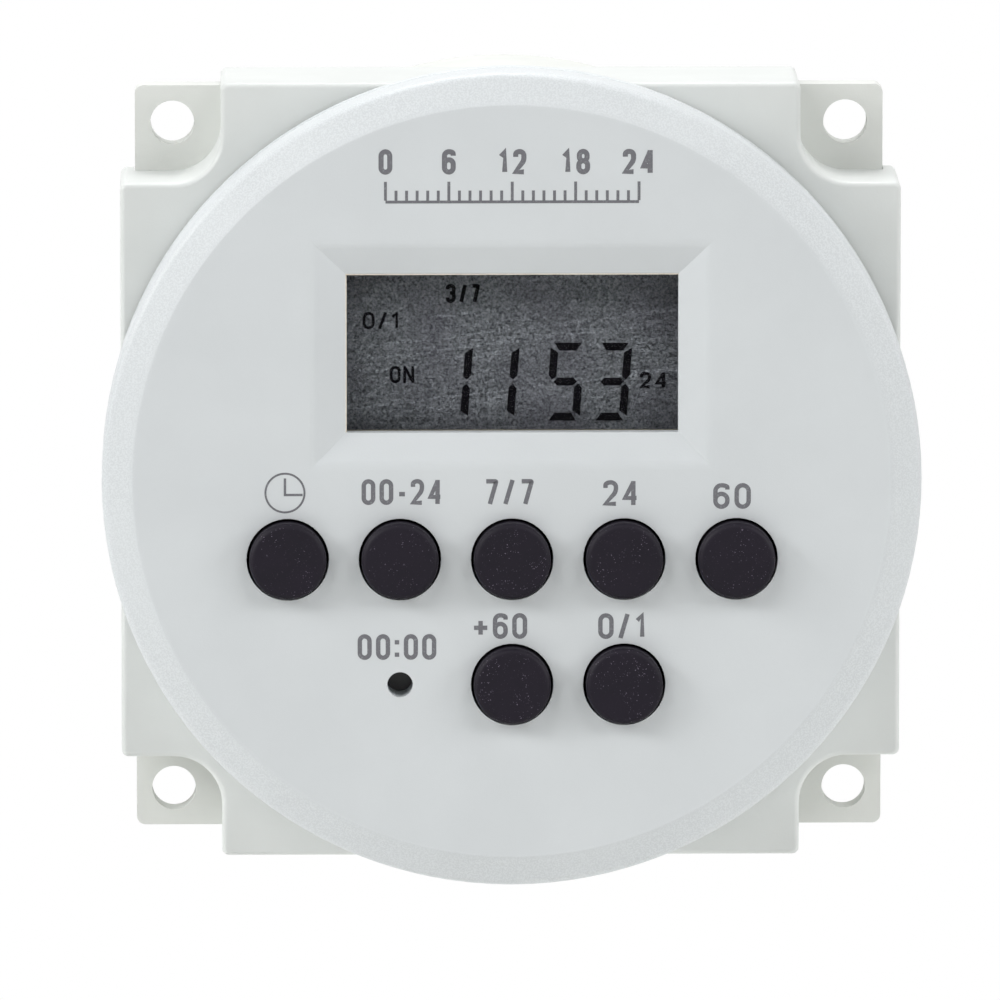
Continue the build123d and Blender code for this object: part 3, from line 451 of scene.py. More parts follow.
@dataclass(frozen=True)
class DisplayBacking:
    """The display's rear polariser and reflector: dark grey, finely speckled."""

    name: str
    dark: str
    pale: str
    violet: str
    # The film's grains, coarse enough to show as grains in a clean render
    speck_mm: float = 0.21
    drift_mm: float = 6.0
    speck_depth_mm: float = 0.01

    def material(self) -> bpy.types.Material:
        """Makes the material, with its slow drift from grey to violet.

        Returns:
            The material.
        """
        coat = Coat(self.name)
        film = coat.add(
            "ShaderNodeTexNoise", {"Scale": 1 / (self.speck_mm * MM), "Detail": 1.0}
        )
        speck = coat.add(
            "ShaderNodeMapRange", {"Value": film, "From Min": 0.28, "From Max": 0.74}
        )
        speckled = coat.add(
            "ShaderNodeMix",
            {0: speck, MIX_A: linear(self.dark), MIX_B: linear(self.pale)},
            MIX_COLOUR, data_type="RGBA",
        )
        slow = coat.add(
            "ShaderNodeTexNoise", {"Scale": 1 / (self.drift_mm * MM), "Detail": 1.0}
        )
        drift = coat.add(
            "ShaderNodeMapRange",
            {"Value": slow, "From Min": 0.40, "From Max": 0.65, "To Max": 0.3},
        )
        colour = coat.add(
            "ShaderNodeMix", {0: drift, MIX_A: speckled, MIX_B: linear(self.violet)},
            MIX_COLOUR, data_type="RGBA",
        )
        rough = coat.add(
            "ShaderNodeMapRange", {"Value": speck, "To Min": 0.5, "To Max": 0.35}
        )
        shader = {"Base Color": colour, "Roughness": rough, "Specular IOR Level": 0.1}
        return coat.finish(shader, speck, self.speck_depth_mm)


@dataclass(frozen=True)
class Ink:
    """Print, tape or glue: a thin even film that is a little worn in small spots."""

    name: str
    colour: str
    worn: str
    roughness: float = 0.55
    sheen: float = 0.5
    wear_mm: float = 0.18
    worn_roughness: float = 0.7
    grain_mm: float = 0.16
    grain_depth_mm: float = 0.004

    def material(self) -> bpy.types.Material:
        """Makes the material.

        Returns:
            The material.
        """
        coat = Coat(self.name)
        rubbed = coat.add(
            "ShaderNodeTexNoise", {"Scale": 1 / (self.wear_mm * MM), "Detail": 2.0}
        )
        wear = coat.add(
            "ShaderNodeMapRange",
            {"Value": rubbed, "From Min": 0.56, "From Max": 0.70, "To Max": 0.8},
        )
        colour = coat.add(
            "ShaderNodeMix",
            {0: wear, MIX_A: linear(self.colour), MIX_B: linear(self.worn)},
            MIX_COLOUR, data_type="RGBA",
        )
        rough = coat.add(
            "ShaderNodeMapRange",
            {"Value": wear, "To Min": self.roughness, "To Max": self.worn_roughness},
        )
        grain = coat.add(
            "ShaderNodeTexNoise", {"Scale": 1 / (self.grain_mm * MM), "Detail": 1.0}
        )
        shader = {
            "Base Color": colour, "Roughness": rough, "Specular IOR Level": self.sheen,
        }
        return coat.finish(shader, grain, self.grain_depth_mm)


@dataclass(frozen=True)
class CircuitBoard:
    """A glass-epoxy board under solder mask, with copper tracks that show as relief."""

    name: str
    mask: str
    track: str
    track_mm: float = 1.4
    # How much of a cell's width a track takes
    track_share: float = 0.35
    track_depth_mm: float = 0.035
    stain_mm: float = 2.0
    ior: float = 1.55

    def material(self) -> bpy.types.Material:
        """Makes the material. The tracks run square, so the cells are square ones.

        Returns:
            The material.
        """
        coat = Coat(self.name)
        cells = coat.add(
            "ShaderNodeTexVoronoi",
            {"Scale": self.track_share / (self.track_mm * MM), "Smoothness": 0.15},
            "Distance", distance="CHEBYCHEV", feature="SMOOTH_F1",
        )
        tracks = coat.add(
            "ShaderNodeMapRange", {"Value": cells, "From Min": 0.42, "From Max": 0.46}
        )
        colour = coat.add(
            "ShaderNodeMix",
            {0: tracks, MIX_A: linear(self.mask), MIX_B: linear(self.track)},
            MIX_COLOUR, data_type="RGBA",
        )
        stain = coat.add(
            "ShaderNodeTexNoise", {"Scale": 1 / (self.stain_mm * MM), "Detail": 2.0}
        )
        rough = coat.add("ShaderNodeMapRange", {
            "Value": stain, "From Min": 0.3, "From Max": 0.7,
            "To Min": 0.22, "To Max": 0.34,
        })
        shader = {"Base Color": colour, "Roughness": rough, "IOR": self.ior}
        return coat.finish(shader, tracks, self.track_depth_mm)


@dataclass(frozen=True)
class Winding:
    """Turns of enamelled wire laid side by side along Y."""

    name: str
    colour: str
    shade: str
    # Coarser than the real wire, so that the turns show
    wire_mm: float = 0.25
    # How far one band of a wave at a scale of 1 reaches
    band_length: float = 0.314
    wire_depth_mm: float = 0.08

    def material(self) -> bpy.types.Material:
        """Makes the material.

        Returns:
            The material.
        """
        coat = Coat(self.name)
        bands = coat.add(
            "ShaderNodeTexWave",
            {
                "Scale": self.band_length / (self.wire_mm * MM), "Distortion": 0.6,
                "Detail": 1.0,
            },
            "Fac", bands_direction="Y",
        )
        colour = coat.add(
            "ShaderNodeMix",
            {0: bands, MIX_A: linear(self.shade), MIX_B: linear(self.colour)},
            MIX_COLOUR, data_type="RGBA",
        )
        rough = coat.add(
            "ShaderNodeMapRange", {"Value": bands, "To Min": 0.5, "To Max": 0.28}
        )
        shader = {"Base Color": colour, "Roughness": rough, "Metallic": 0.85}
        return coat.finish(shader, bands, self.wire_depth_mm)


Finish = Moulded | Metal | Pane | DisplayBacking | Ink | CircuitBoard | Winding

# Each slot of the record, with what its surface is and what that gives the eye
FINISHES: dict[str, Finish] = {
    # ABS from a tool with a spark-eroded edge: soft satin, cool pale grey, with painted glints on the edge's band
    "cover_plastic": SparkedRim("abs_cover", "D2D6D8", "CFD3D5", 0.46),
    # The same ABS from a second tool, a shade paler
    "housing_plastic": Moulded("abs_housing", "DBDEDC", "D6D9D7", 0.48),
    # Flame-proof polycarbonate blend: slightly warmer and duller
    "rear_plastic": Moulded("pc_blend_rear", "DFE1DD", "DADCD8", 0.50, 0.2, 0.008),
    # Zinc plating on steel: blue-white, with soft stains
    "zinc_steel": Metal("zinc_plated_steel", "C6C9CC", "9FA3A8", 0.34),
    # Cast acrylic: clear, nearly colourless
    "clear_window": Pane("acrylic_window", "4A4E4E", 0.02, 0.22),
    # Float glass with the front polariser: takes a little light
    "lcd_glass": Pane("polarised_glass", "2C302F", 0.02, 0.20),
    # Rear polariser on a transflective film: dark grey, speckled
    "lcd_backing": DisplayBacking("reflector_film", "42454A", "B5BAC1", "6A6674"),
    # Natural nylon: warm white, a touch of gloss
    "white_plastic": Moulded("nylon_white", "E9E7DE", "DFDDD2", 0.42),
    # Striped silicone connector strip: cream foam sides
    "zebra_rubber": Moulded("silicone_strip", "D3CCB8", "C6BFA9", 0.62, 0.3, 0.01),
    # Silicone rubber, black with a violet cast, matt, holds lint
    "key_rubber": LintyRubber(
        "silicone_key", "17121D", "14101A", 0.55, 0.10, 0.004, 3.0, 1.43, 0.25
    ),
    # Silicone rubber mat, dark grey, matt
    "mat_rubber": Moulded("silicone_mat", "4A4A4D", "414145", 0.6, ior=1.43),
    # Carbon-loaded rubber: dead black, dusty
    "carbon_pill": Moulded("carbon_rubber", "18181A", "202022", 0.8, 0.08, 0.012),
    # Glass-filled nylon: black, with a dull grain
    "black_plastic": Moulded("nylon_black", "1F1F20", "262627", 0.5, 0.12, 0.01),
    # Acetal: black, with a soft shine
    "plunger_plastic": Moulded("acetal_plunger", "2B2B2C", "242425", 0.35),
    # Solder mask over copper: green, glossy
    "circuit_board": CircuitBoard("solder_mask", "17542F", "2A7A45"),
    # Moulded epoxy: flat black with a fine grain
    "black_epoxy": Moulded("moulded_epoxy", "222224", "2B2B2D", 0.55, 0.08, 0.006),
    # Drawn aluminium: pale, finely lined, with a soft shine
    "can_metal": Metal("drawn_aluminium", "D2D3D4", "B4B6B8", 0.28),
    # Nickel-plated steel: warm and bright
    "cell_steel": Metal("nickel_plated_can", "CFCDC6", "AFAEA8", 0.22),
    # Fired ceramic: pale tan, matt
    "chip_ceramic": Moulded("fired_ceramic", "B79B78", "A98C68", 0.6, ior=1.6),
    # Extruded vinyl: light grey, smooth
    "ribbon_vinyl": Moulded("vinyl_ribbon", "B9BBBF", "AEB1B6", 0.45),
    # Moulded polyester: yellow, glossy
    "film_box": Moulded("polyester_box", "D9AE32", "CFA22A", 0.3),
    # Shrunk vinyl sleeve: dark blue, glossy
    "can_sleeve": Moulded("shrunk_sleeve", "23304F", "1E2945", 0.25),
    # Dipped epoxy: blue, glossy, with an uneven skin
    "varistor_coat": Moulded("dipped_epoxy_blue", "2C5C9E", "27528F", 0.28, 0.5, 0.02),
    # Cement: grey-green, rough
    "resistor_coat": Moulded("cement_coat", "93A79B", "869A8E", 0.7, 0.2, 0.015),
    # Moulded polyester: near black, satin
    "relay_case": Moulded("polyester_case", "2B2C31", "242529", 0.38),
    # Enamelled copper wire: red-brown turns that shine
    "copper_winding": Winding("enamelled_copper", "B8683A", "6E3A1E"),
    # Plated soft iron: plain grey
    "soft_iron": Metal("plated_iron", "B9BABB", "94969A", 0.36),
    # Rolled bronze: yellow-brown, bright
    "spring_bronze": Metal("rolled_bronze", "C79A5A", "A67D45", 0.3),
    # Tin plating over brass: pale, faintly yellow, brushed along the blade
    "tinned_brass": Metal("tinned_brass", "D9D3C3", "B8AF98", 0.3, 0.10, (8, 1, 8)),
}

# Pad-printed two-part ink: mid grey, satin, flat on the face
PRINT_GREY = Ink("pad_print_grey", "69696E", "85878B")
# Switched liquid crystal: near black, and a little violet
CRYSTAL_BLACK = Ink("switched_crystal", "0E0C11", "151318", 0.6, 0.0)
# Adhesive tape round the window: its edge shows as a thin brown line
TAPE_BROWN = Ink("acrylic_tape", "8C745A", "A58C70", 0.6)
# Painted highlight along the window's lit left and top edges: a pale cream line, laid as clear glue that has yellowed
# a little
HIGHLIGHT_CREAM = Ink("painted_highlight_cream", "F4EADB", "E6D9C6", 0.4)


@dataclass
class Wardrobe:
    """Makes each finish once and hands it out."""

    made: dict[str, bpy.types.Material] = field(default_factory=dict)

    def get(self, finish: Finish) -> bpy.types.Material:
        """Hands out the material of a finish, made on its first use.

        Args:
            finish: The finish.

        Returns:
            Its material.
        """
        if finish.name not in self.made:
            self.made[finish.name] = finish.material()
        return self.made[finish.name]

    def dress_frame(self, record: dict, nodes: dict) -> None:
        """Gives every CAD node the finish of its slot.

        Args:
            record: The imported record, which names each node's slot.
            nodes: The CAD nodes' objects by name.
        """
        for part in record["subparts"]:
            mesh = nodes[part["node"]].data
            mesh.materials.clear()
            mesh.materials.append(self.get(FINISHES[part["material_slot"]]))
        # The rear glass carries the polariser and is seen as the display's ground
        ground = nodes["lcd_rear_glass"].data.materials
        ground[0] = self.get(FINISHES["lcd_backing"])


# Shapes

def new_piece(
    name: str, shape: bmesh.types.BMesh, material: bpy.types.Material
) -> bpy.types.Object:
    """Turns a finished bmesh into a piece that rides on the module.

    Args:
        name: The piece's name.
        shape: Its mesh, already in place. It is freed.
        material: Its finish.

    Returns:
        The piece.
    """
    bmesh.ops.recalc_face_normals(shape, faces=shape.faces)
    mesh = bpy.data.meshes.new(name)
    shape.to_mesh(mesh)
    shape.free()
    mesh.materials.append(material)
    piece = bpy.data.objects.new(name, mesh)
    bpy.context.scene.collection.objects.link(piece)
    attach(piece, MODULE)
    return piece


def rectangle(
    left: float, low: float, right: float, high: float
) -> list[tuple[float, float]]:
    """Gives the corners of a rectangle across X and Z, round from the lower left."""
    return [(left, low), (right, low), (right, high), (left, high)]


def raise_plate(
    shape: bmesh.types.BMesh,
    outline: list[tuple[float, float]],
    turn: Matrix,
    thickness: float,
) -> None:
    """Adds a flat plate with a given outline.

    Args:
        shape: The mesh that the plate joins.
        outline: Its corners across X and Z, in metres.
        turn: Moves the plate from the plane y = 0 to its place.
        thickness: How thick it is, from y = 0 towards the front.
    """
    corners = [shape.verts.new((x, 0.0, z)) for x, z in outline]
    face = shape.faces.new(corners)
    grown = bmesh.ops.extrude_face_region(shape, geom=[face])
    lifted = [v for v in grown["geom"] if isinstance(v, bmesh.types.BMVert)]
    bmesh.ops.translate(shape, verts=lifted, vec=(0.0, -thickness, 0.0))
    bmesh.ops.transform(shape, matrix=turn, verts=corners + lifted)


# Plain characters as strokes over a box of 1 by 1: across, up and the corner's radius.
# The number is the character's width as a share of its height; True closes a stroke.
STROKES: dict[str, tuple[float, tuple]] = {
    "0": (0.54, ((True, (0, 0, 0.5), (1, 0, 0.5), (1, 1, 0.5), (0, 1, 0.5)),)),
    "1": (0.40, ((False, (0.1, 0.76, 0), (0.8, 1, 0), (0.8, 0, 0)),)),
    "2": (0.52, (
        (False, (0, 0.74, 0), (0, 1, 0.5), (1, 1, 0.5), (1, 0.56, 0.3), (0, 0, 0),
         (1, 0, 0)),
    )),
    "3": (0.52, (
        (False, (0, 0.78, 0), (0, 1, 0.5), (1, 1, 0.45), (1, 0.54, 0.4), (0.35, 0.54, 0)),
        (False, (0.6, 0.54, 0), (1, 0.54, 0.4), (1, 0, 0.5), (0, 0, 0.5), (0, 0.24, 0)),
    )),
    "4": (0.56, (
        (False, (0.72, 1, 0), (0, 0.27, 0), (1, 0.27, 0)),
        (False, (0.72, 1.06, 0), (0.72, -0.06, 0)),
    )),
    "5": (0.52, (
        (False, (0.95, 1, 0), (0.1, 1, 0), (0.06, 0.55, 0.05), (1, 0.64, 0.5), (1, 0, 0.5),
         (0, 0, 0.5), (0, 0.22, 0)),
    )),
    "6": (0.54, (
        (True, (0, 0, 0.5), (1, 0, 0.5), (1, 0.6, 0.5), (0, 0.6, 0.5)),
        (False, (0, 0.3, 0), (0, 1, 0.5), (1, 1, 0.5), (1, 0.8, 0)),
    )),
    "7": (0.50, ((False, (0, 1, 0), (1, 1, 0.12), (0.36, -0.06, 0)),)),
    "8": (0.54, (
        (True, (0, 0, 0.5), (1, 0, 0.5), (1, 0.54, 0.5), (0, 0.54, 0.5)),
        (True, (0.06, 0.54, 0.44), (0.94, 0.54, 0.44), (0.94, 1, 0.44), (0.06, 1, 0.44)),
    )),
    "/": (0.40, ((False, (0, -0.06, 0), (1, 1.06, 0)),)),
    "+": (0.56, (
        (False, (-0.1, 0.42, 0), (1.1, 0.42, 0)),
        (False, (0.5, 0.1, 0), (0.5, 0.74, 0)),
    )),
    "-": (0.36, ((False, (-0.1, 0.4, 0), (1.1, 0.4, 0)),)),
    ":": (0.20, (
        (False, (0.5, 0.04, 0), (0.5, 0.24, 0)), (False, (0.5, 0.62, 0), (0.5, 0.82, 0)),
    )),
    "O": (0.60, ((True, (0, 0, 0.5), (1, 0, 0.5), (1, 1, 0.5), (0, 1, 0.5)),)),
    "N": (0.60, (
        (False, (0, -0.08, 0), (0, 1.08, 0)), (False, (1, -0.08, 0), (1, 1.08, 0)),
        (False, (0.02, 1.0, 0), (0.98, 0, 0)),
    )),
}


def round_corners(
    points: list[tuple[Vector, float]], closed: bool, steps: int = 7
) -> list[Vector]:
    """Rounds the corners of a flat path.

    Args:
        points: Each corner with the distance along its sides that the bend takes.
        closed: Whether the path ends where it starts.
        steps: How many points a bend gets.

    Returns:
        The path's points.
    """
    path = []
    count = len(points)
    for i, (corner, reach) in enumerate(points):
        at_end = not closed and i in (0, count - 1)
        if at_end or reach <= 0:
            path.append(corner)
            continue
        back = points[i - 1][0] - corner
        on = points[(i + 1) % count][0] - corner
        start = corner + back.normalized() * min(reach, back.length / 2)
        stop = corner + on.normalized() * min(reach, on.length / 2)
        handles = [end.lerp(corner, ARC_HANDLE) for end in (start, stop)]
        path += interpolate_bezier(start, *handles, stop, steps)
    # Bends that meet share a point, which is kept once
    return [p for i, p in enumerate(path) if (p - path[i - 1]).length > SAME_POINT]


def ribbon(
    shape: bmesh.types.BMesh, path: list[Vector], half: float, closed: bool
) -> list[bmesh.types.BMFace]:
    """Adds a flat ribbon of even width along a path in X and Y.

    Args:
        shape: The mesh that the ribbon joins.
        path: Its middle line.
        half: Half its width.
        closed: Whether it runs back into its start.

    Returns:
        Its faces.
    """
    count = len(path)
    rails = []
    for i, point in enumerate(path):
        ways = []
        if closed or i > 0:
            ways.append((point - path[i - 1]).normalized())
        if closed or i < count - 1:
            ways.append((path[(i + 1) % count] - point).normalized())
        sides = [Vector((-way.y, way.x, 0.0)) for way in ways]
        mean = sum(sides, Vector()).normalized()
        out = mean * half / max(mean.dot(sides[0]), MITRE_LIMIT)
        rails.append((shape.verts.new(point + out), shape.verts.new(point - out)))
    pairs = zip(rails, rails[1:] + rails[:1]) if closed else zip(rails, rails[1:])
    return [shape.faces.new((a[0], b[0], b[1], a[1])) for a, b in pairs]


def letter(
    shape: bmesh.types.BMesh,
    words: str,
    centre: tuple[float, float],
    size: tuple[float, float],
    surface_y: float,
    lift: float,
    facing: Facing = Facing.FRONT,
    weight: float = STROKE_WEIGHT,
) -> None:
    """Adds plain numbers or signs in a narrow bold hand, fitted to a width and height.

    Args:
        shape: The mesh that the lettering joins.
        words: The characters.
        centre: The middle of the lettering, in X and Z.
        size: Its width and height. A width of 0 keeps the characters' own.
        surface_y: The Y of the face that it stands on.
        lift: How far it stands off that face.
        facing: The side that it is read from.
        weight: How wide the strokes are, as a share of the height.
    """
    gap = weight * CHARACTER_GAP
    own = sum(STROKES[c][0] for c in words) + gap * (len(words) - 1)
    tall = size[1]
    wide = size[0] / own if size[0] else tall
    half = weight * tall / 2
    place = (
        Matrix.Translation((centre[0], surface_y, centre[1])) @ facing.turn()
        @ Matrix.Translation((-own * wide / 2, -tall / 2, 0.0))
    )
    left = 0.0
    for character in words:
        width, strokes = STROKES[character]
        inner = Vector((width * wide - 2 * half, tall - 2 * half))
        for order, (closed, *corners) in enumerate(strokes):
            points = []
            for across, up, radius in corners:
                x = left * wide + half + across * inner.x
                spot = Vector((x, half + up * inner.y, 0.0))
                points.append((spot, radius * inner.x))
            flat = ribbon(shape, round_corners(points, closed), half, closed)
            foot = list({v for face in flat for v in face.verts})
            grown = bmesh.ops.extrude_face_region(shape, geom=flat)
            lifted = [v for v in grown["geom"] if isinstance(v, bmesh.types.BMVert)]
            # Strokes that cross stand a hair apart, so that their faces never coincide
            raised = lift * (1 + STROKE_STEP * order)
            bmesh.ops.translate(shape, verts=lifted, vec=(0.0, 0.0, raised))
            bmesh.ops.transform(shape, matrix=place, verts=foot + lifted)
        left += width + gap


@dataclass(frozen=True)
class Sign:
    """A printed or lit sign: its characters, middle and size in millimetres."""

    words: str
    x_mm: float
    z_mm: float
    width_mm: float
    height_mm: float = 2.35
    weight: float = STROKE_WEIGHT


def letter_signs(
    shape: bmesh.types.BMesh, signs: tuple[Sign, ...], surface_y: float, lift: float
) -> None:
    """Adds a row of signs that are read from the front.

    Args:
        shape: The mesh that the signs join.
        signs: The signs.
        surface_y: The Y of the face that they stand on.
        lift: How far they stand off that face.
    """
    for sign in signs:
        centre = (sign.x_mm * MM, sign.z_mm * MM)
        size = (sign.width_mm * MM, sign.height_mm * MM)
        letter(shape, sign.words, centre, size, surface_y, lift, weight=sign.weight)


# Sub-assemblies

@dataclass
class CoverPrint:
    """The grey print on the round cover: a clock sign, numbers and a day's scale."""

    wardrobe: Wardrobe
    face_y: float
    clock_spot: tuple[float, float] = (-20.48 * MM, -0.92 * MM)
    clock_radius: float = 1.85 * MM
    clock_line: float = 0.18 * MM
    # Half a hand's width as a share of the ring's line, and how far the lying hand
    # stands below the middle
    hand_half: float = 0.6
    hand_drop: float = 0.18 * MM
    # How far the hands reach, as shares of the ring's radius
    hand_up: float = 0.72
    hand_across: float = 0.86
    # What each key and the pinhole does, in plain numbers
    legends: tuple[Sign, ...] = (
        Sign("00-24", -9.93, -0.85, 7.3),
        Sign("7/7", -0.29, -0.87, 4.5),
        Sign("24", 9.81, -0.99, 3.2),
        Sign("60", 19.82, -1.28, 3.4),
        Sign("+60", -1.10, -13.08, 4.9),
        Sign("0/1", 9.91, -13.11, 4.3),
        Sign("00:00", -10.40, -14.97, 7.1),
    )
    scale_z: float = 25.6 * MM
    scale_half: float = 11.4 * MM
    scale_line: float = 0.26 * MM
    scale_hours: int = 24
    # Each sixth hour has a long tick and its number
    numbered_hours: int = 6
    long_tick: float = 1.7 * MM
    short_tick: float = 0.9 * MM
    hour_rise: float = 3.5 * MM
    hour_height: float = 2.3 * MM
    hour_weight: float = 0.2

    def clock_sign(self) -> bpy.types.Object:
        """Builds the clock sign: a ring and two hands at three o'clock.

        Returns:
            The piece.
        """
        shape = bmesh.new()
        bmesh.ops.create_circle(shape, segments=72, radius=self.clock_radius)
        ring = bmesh.ops.extrude_edge_only(shape, edges=shape.edges[:])
        inner = [v for v in ring["geom"] if isinstance(v, bmesh.types.BMVert)]
        shrink = 1 - self.clock_line / self.clock_radius
        bmesh.ops.scale(shape, vec=(shrink, shrink, 1.0), verts=inner)
        band = bmesh.ops.extrude_face_region(shape, geom=shape.faces[:])
        lifted = [v for v in band["geom"] if isinstance(v, bmesh.types.BMVert)]
        bmesh.ops.translate(shape, verts=lifted, vec=(0, 0, INK_LIFT))
        x, z = self.clock_spot
        place = Matrix.Translation((x, self.face_y, z))
        turn = place @ Facing.FRONT.turn()
        bmesh.ops.transform(shape, matrix=turn, verts=shape.verts)
        half, drop = self.clock_line * self.hand_half, self.hand_drop
        up = self.clock_radius * self.hand_up
        across = self.clock_radius * self.hand_across
        hands = [
            (-half, -drop - half), (across, -drop - half), (across, -drop + half),
            (half, -drop + half), (half, up), (-half, up),
        ]
        raise_plate(shape, hands, place, INK_LIFT)
        return new_piece("clock_sign", shape, self.wardrobe.get(PRINT_GREY))

    def key_numbers(self) -> bpy.types.Object:
        """Builds the plain numbers over the keys and the pinhole.

        Returns:
            The piece.
        """
        shape = bmesh.new()
        letter_signs(shape, self.legends, self.face_y, INK_LIFT)
        return new_piece("key_numbers", shape, self.wardrobe.get(PRINT_GREY))

    def day_scale(self) -> bpy.types.Object:
        """Builds the scale of a day above the display: hour ticks and plain numbers.

        Returns:
            The piece.
        """
        shape = bmesh.new()
        place = Matrix.Translation((0, self.face_y, self.scale_z))
        step = 2 * self.scale_half / self.scale_hours
        half = self.scale_line / 2
        for hour in range(self.scale_hours + 1):
            numbered = hour % self.numbered_hours == 0
            x = hour * step - self.scale_half
            top = self.long_tick if numbered else self.short_tick
            raise_plate(shape, rectangle(x - half, 0, x + half, top), place, INK_LIFT)
            if numbered:
                letter(
                    shape, str(hour), (x, self.scale_z + self.hour_rise),
                    (0, self.hour_height), self.face_y, INK_LIFT,
                    weight=self.hour_weight,
                )
        bar = rectangle(-self.scale_half, -self.scale_line, self.scale_half, 0)
        raise_plate(shape, bar, place, INK_LIFT)
        return new_piece("day_scale", shape, self.wardrobe.get(PRINT_GREY))

    def build(self) -> list[bpy.types.Object]:
        """Prints everything on the cover and gives its pieces."""
        return [self.clock_sign(), self.key_numbers(), self.day_scale()]


@dataclass
class DisplayFace:
    """What the liquid crystal shows, and the tape, the painted highlight and the seals at its window."""

    wardrobe: Wardrobe
    crystal_y: float
    window_y: float
    window_middle: tuple[float, float]
    # The opening in the cover, which the lens behind it overlaps
    window_size: tuple[float, float] = (30.0 * MM, 14.4 * MM)
    digit_height: float = 7.07 * MM
    digit_width: float = 3.1 * MM
    stroke: float = 0.7 * MM
    # How far a level or an upright bar stops short of the digit's corner
    level_notch: float = 0.33 * MM
    upright_notch: float = 0.44 * MM
    # How much shorter a bar's inner side is at its end
    bevel: float = 0.46 * MM
    # Where an upright bar ends over the digit's middle, in strokes: at its outer side,
    # halfway across and at its inner side
    upright_foot: tuple[float, float, float] = (0.85, 0.28, 0.7)
    # How far the middle bar's tips stop short of the level bars' ends, in strokes
    middle_short: float = 0.22
    slant: float = math.radians(4.5)
    digits_z: float = 5.02 * MM
    # Each digit with the X of its right edge at its foot, in millimetres
    digits: tuple[tuple[str, float], ...] = (
        ("1", -3.69), ("1", 0.50), ("5", 6.42), ("3", 10.66),
    )
    # Bars that each digit lights, in the usual order from the top round to the middle
    bars: dict[str, str] = field(
        default_factory=lambda: {"1": "bc", "3": "abcdg", "5": "acdfg"}
    )
    signs: tuple[Sign, ...] = (
        Sign("3/7", -4.37, 16.60, 3.1, 1.72, 0.2),
        Sign("0/1", -11.77, 14.15, 3.3, 1.56, 0.16),
        Sign("ON", -9.88, 9.23, 2.2, 1.56, 0.16),
        Sign("24", 12.85, 8.68, 2.5, 1.50, 0.19),
    )
    thickness: float = 0.03 * MM
    tape_width: float = 0.12 * MM
    tape_thickness: float = 0.05 * MM
    glue_width: float = 0.1 * MM
    glue_thickness: float = 0.12 * MM
    # How far in front of the lens the painted highlight strip stands
    glue_rise: float = 1.0 * MM
    seal_width: float = 0.18 * MM
    # How far the end seals reach back from the liquid crystal
    seal_depth: float = 0.9 * MM

    def bar_outlines(self) -> dict[str, list[tuple[float, float]]]:
        """Works out each bar's outline in X and Z, from the digit's middle.

        Returns:
            The corners of each bar by its letter.
        """
        w, h, t = self.digit_width / 2, self.digit_height / 2, self.stroke
        end = w - self.level_notch
        level = [(-end, h), (end, h), (end - self.bevel, h - t), (self.bevel - end, h - t)]
        top = h - self.upright_notch
        outer, halfway, inner = (share * t for share in self.upright_foot)
        upright = [
            (w, top), (w, outer), (w - t / 2, halfway), (w - t, inner),
            (w - t, top - self.bevel),
        ]
        tip = end - self.middle_short * t
        middle = [
            (-tip, 0), (t / 2 - tip, t / 2), (tip - t / 2, t / 2), (tip, 0),
            (tip - t / 2, -t / 2), (t / 2 - tip, -t / 2),
        ]
        return {
            "a": level,
            "b": upright,
            "c": [(x, -z) for x, z in upright],
            "d": [(x, -z) for x, z in level],
            "f": [(-x, z) for x, z in upright],
            "g": middle,
        }

    def lit_digits(self) -> bpy.types.Object:
        """Builds the four leaning digits from their lit bars.

        Returns:
            The piece.
        """
        shape = bmesh.new()
        lean = Matrix.Identity(4)
        lean[0][2] = math.tan(self.slant)
        outlines = self.bar_outlines()
        for figure, right in self.digits:
            x = right * MM - self.digit_width / 2
            z = self.digits_z + self.digit_height / 2
            place = Matrix.Translation((x, self.crystal_y, z)) @ lean
            for bar in self.bars[figure]:
                raise_plate(shape, outlines[bar], place, self.thickness)
        return new_piece("lit_digits", shape, self.wardrobe.get(CRYSTAL_BLACK))

    def lit_signs(self) -> bpy.types.Object:
        """Builds the small signs round the digits.

        Returns:
            The piece.
        """
        shape = bmesh.new()
        letter_signs(shape, self.signs, self.crystal_y, self.thickness)
        return new_piece("lit_signs", shape, self.wardrobe.get(CRYSTAL_BLACK))

    def window_tape(self) -> bpy.types.Object:
        """Builds the tape that holds the lens: a thin frame just inside the window.

        Returns:
            The piece.
        """
        shape = bmesh.new()
        half_w, half_h = (v / 2 for v in self.window_size)
        corners = [
            shape.verts.new((x, self.window_y, z))
            for x, z in rectangle(-half_w, -half_h, half_w, half_h)
        ]
        face = shape.faces.new(corners)
        bmesh.ops.inset_region(
            shape, faces=[face], thickness=self.tape_width,
            use_boundary=True, use_even_offset=True,
        )
        bmesh.ops.delete(shape, geom=[face], context="FACES_ONLY")
        bmesh.ops.solidify(shape, geom=shape.faces[:], thickness=self.tape_thickness)
        x, z = self.window_middle
        bmesh.ops.translate(shape, verts=shape.verts, vec=(x, 0, z))
        return new_piece("window_tape", shape, self.wardrobe.get(TAPE_BROWN))

    def adhesive_edge(self) -> bpy.types.Object:
        """Builds the painted highlight: pale cream strips along the window's left and top, the edges that the lamps
        light.

        Returns:
            The piece.
        """
        shape = bmesh.new()
        half_w, half_h = (v / 2 for v in self.window_size)
        inner_x, inner_z = self.glue_width - half_w, half_h - self.glue_width
        left = rectangle(-half_w, -half_h, inner_x, half_h)
        top = rectangle(inner_x, inner_z, half_w, half_h)
        x, z = self.window_middle
        place = Matrix.Translation((x, self.window_y - self.glue_rise, z))
        # Only the left and top, the edges that the lamps light, get the painted highlight
        for strip in (left, top):
            raise_plate(shape, strip, place, self.glue_thickness)
        return new_piece("adhesive_edge", shape, self.wardrobe.get(HIGHLIGHT_CREAM))

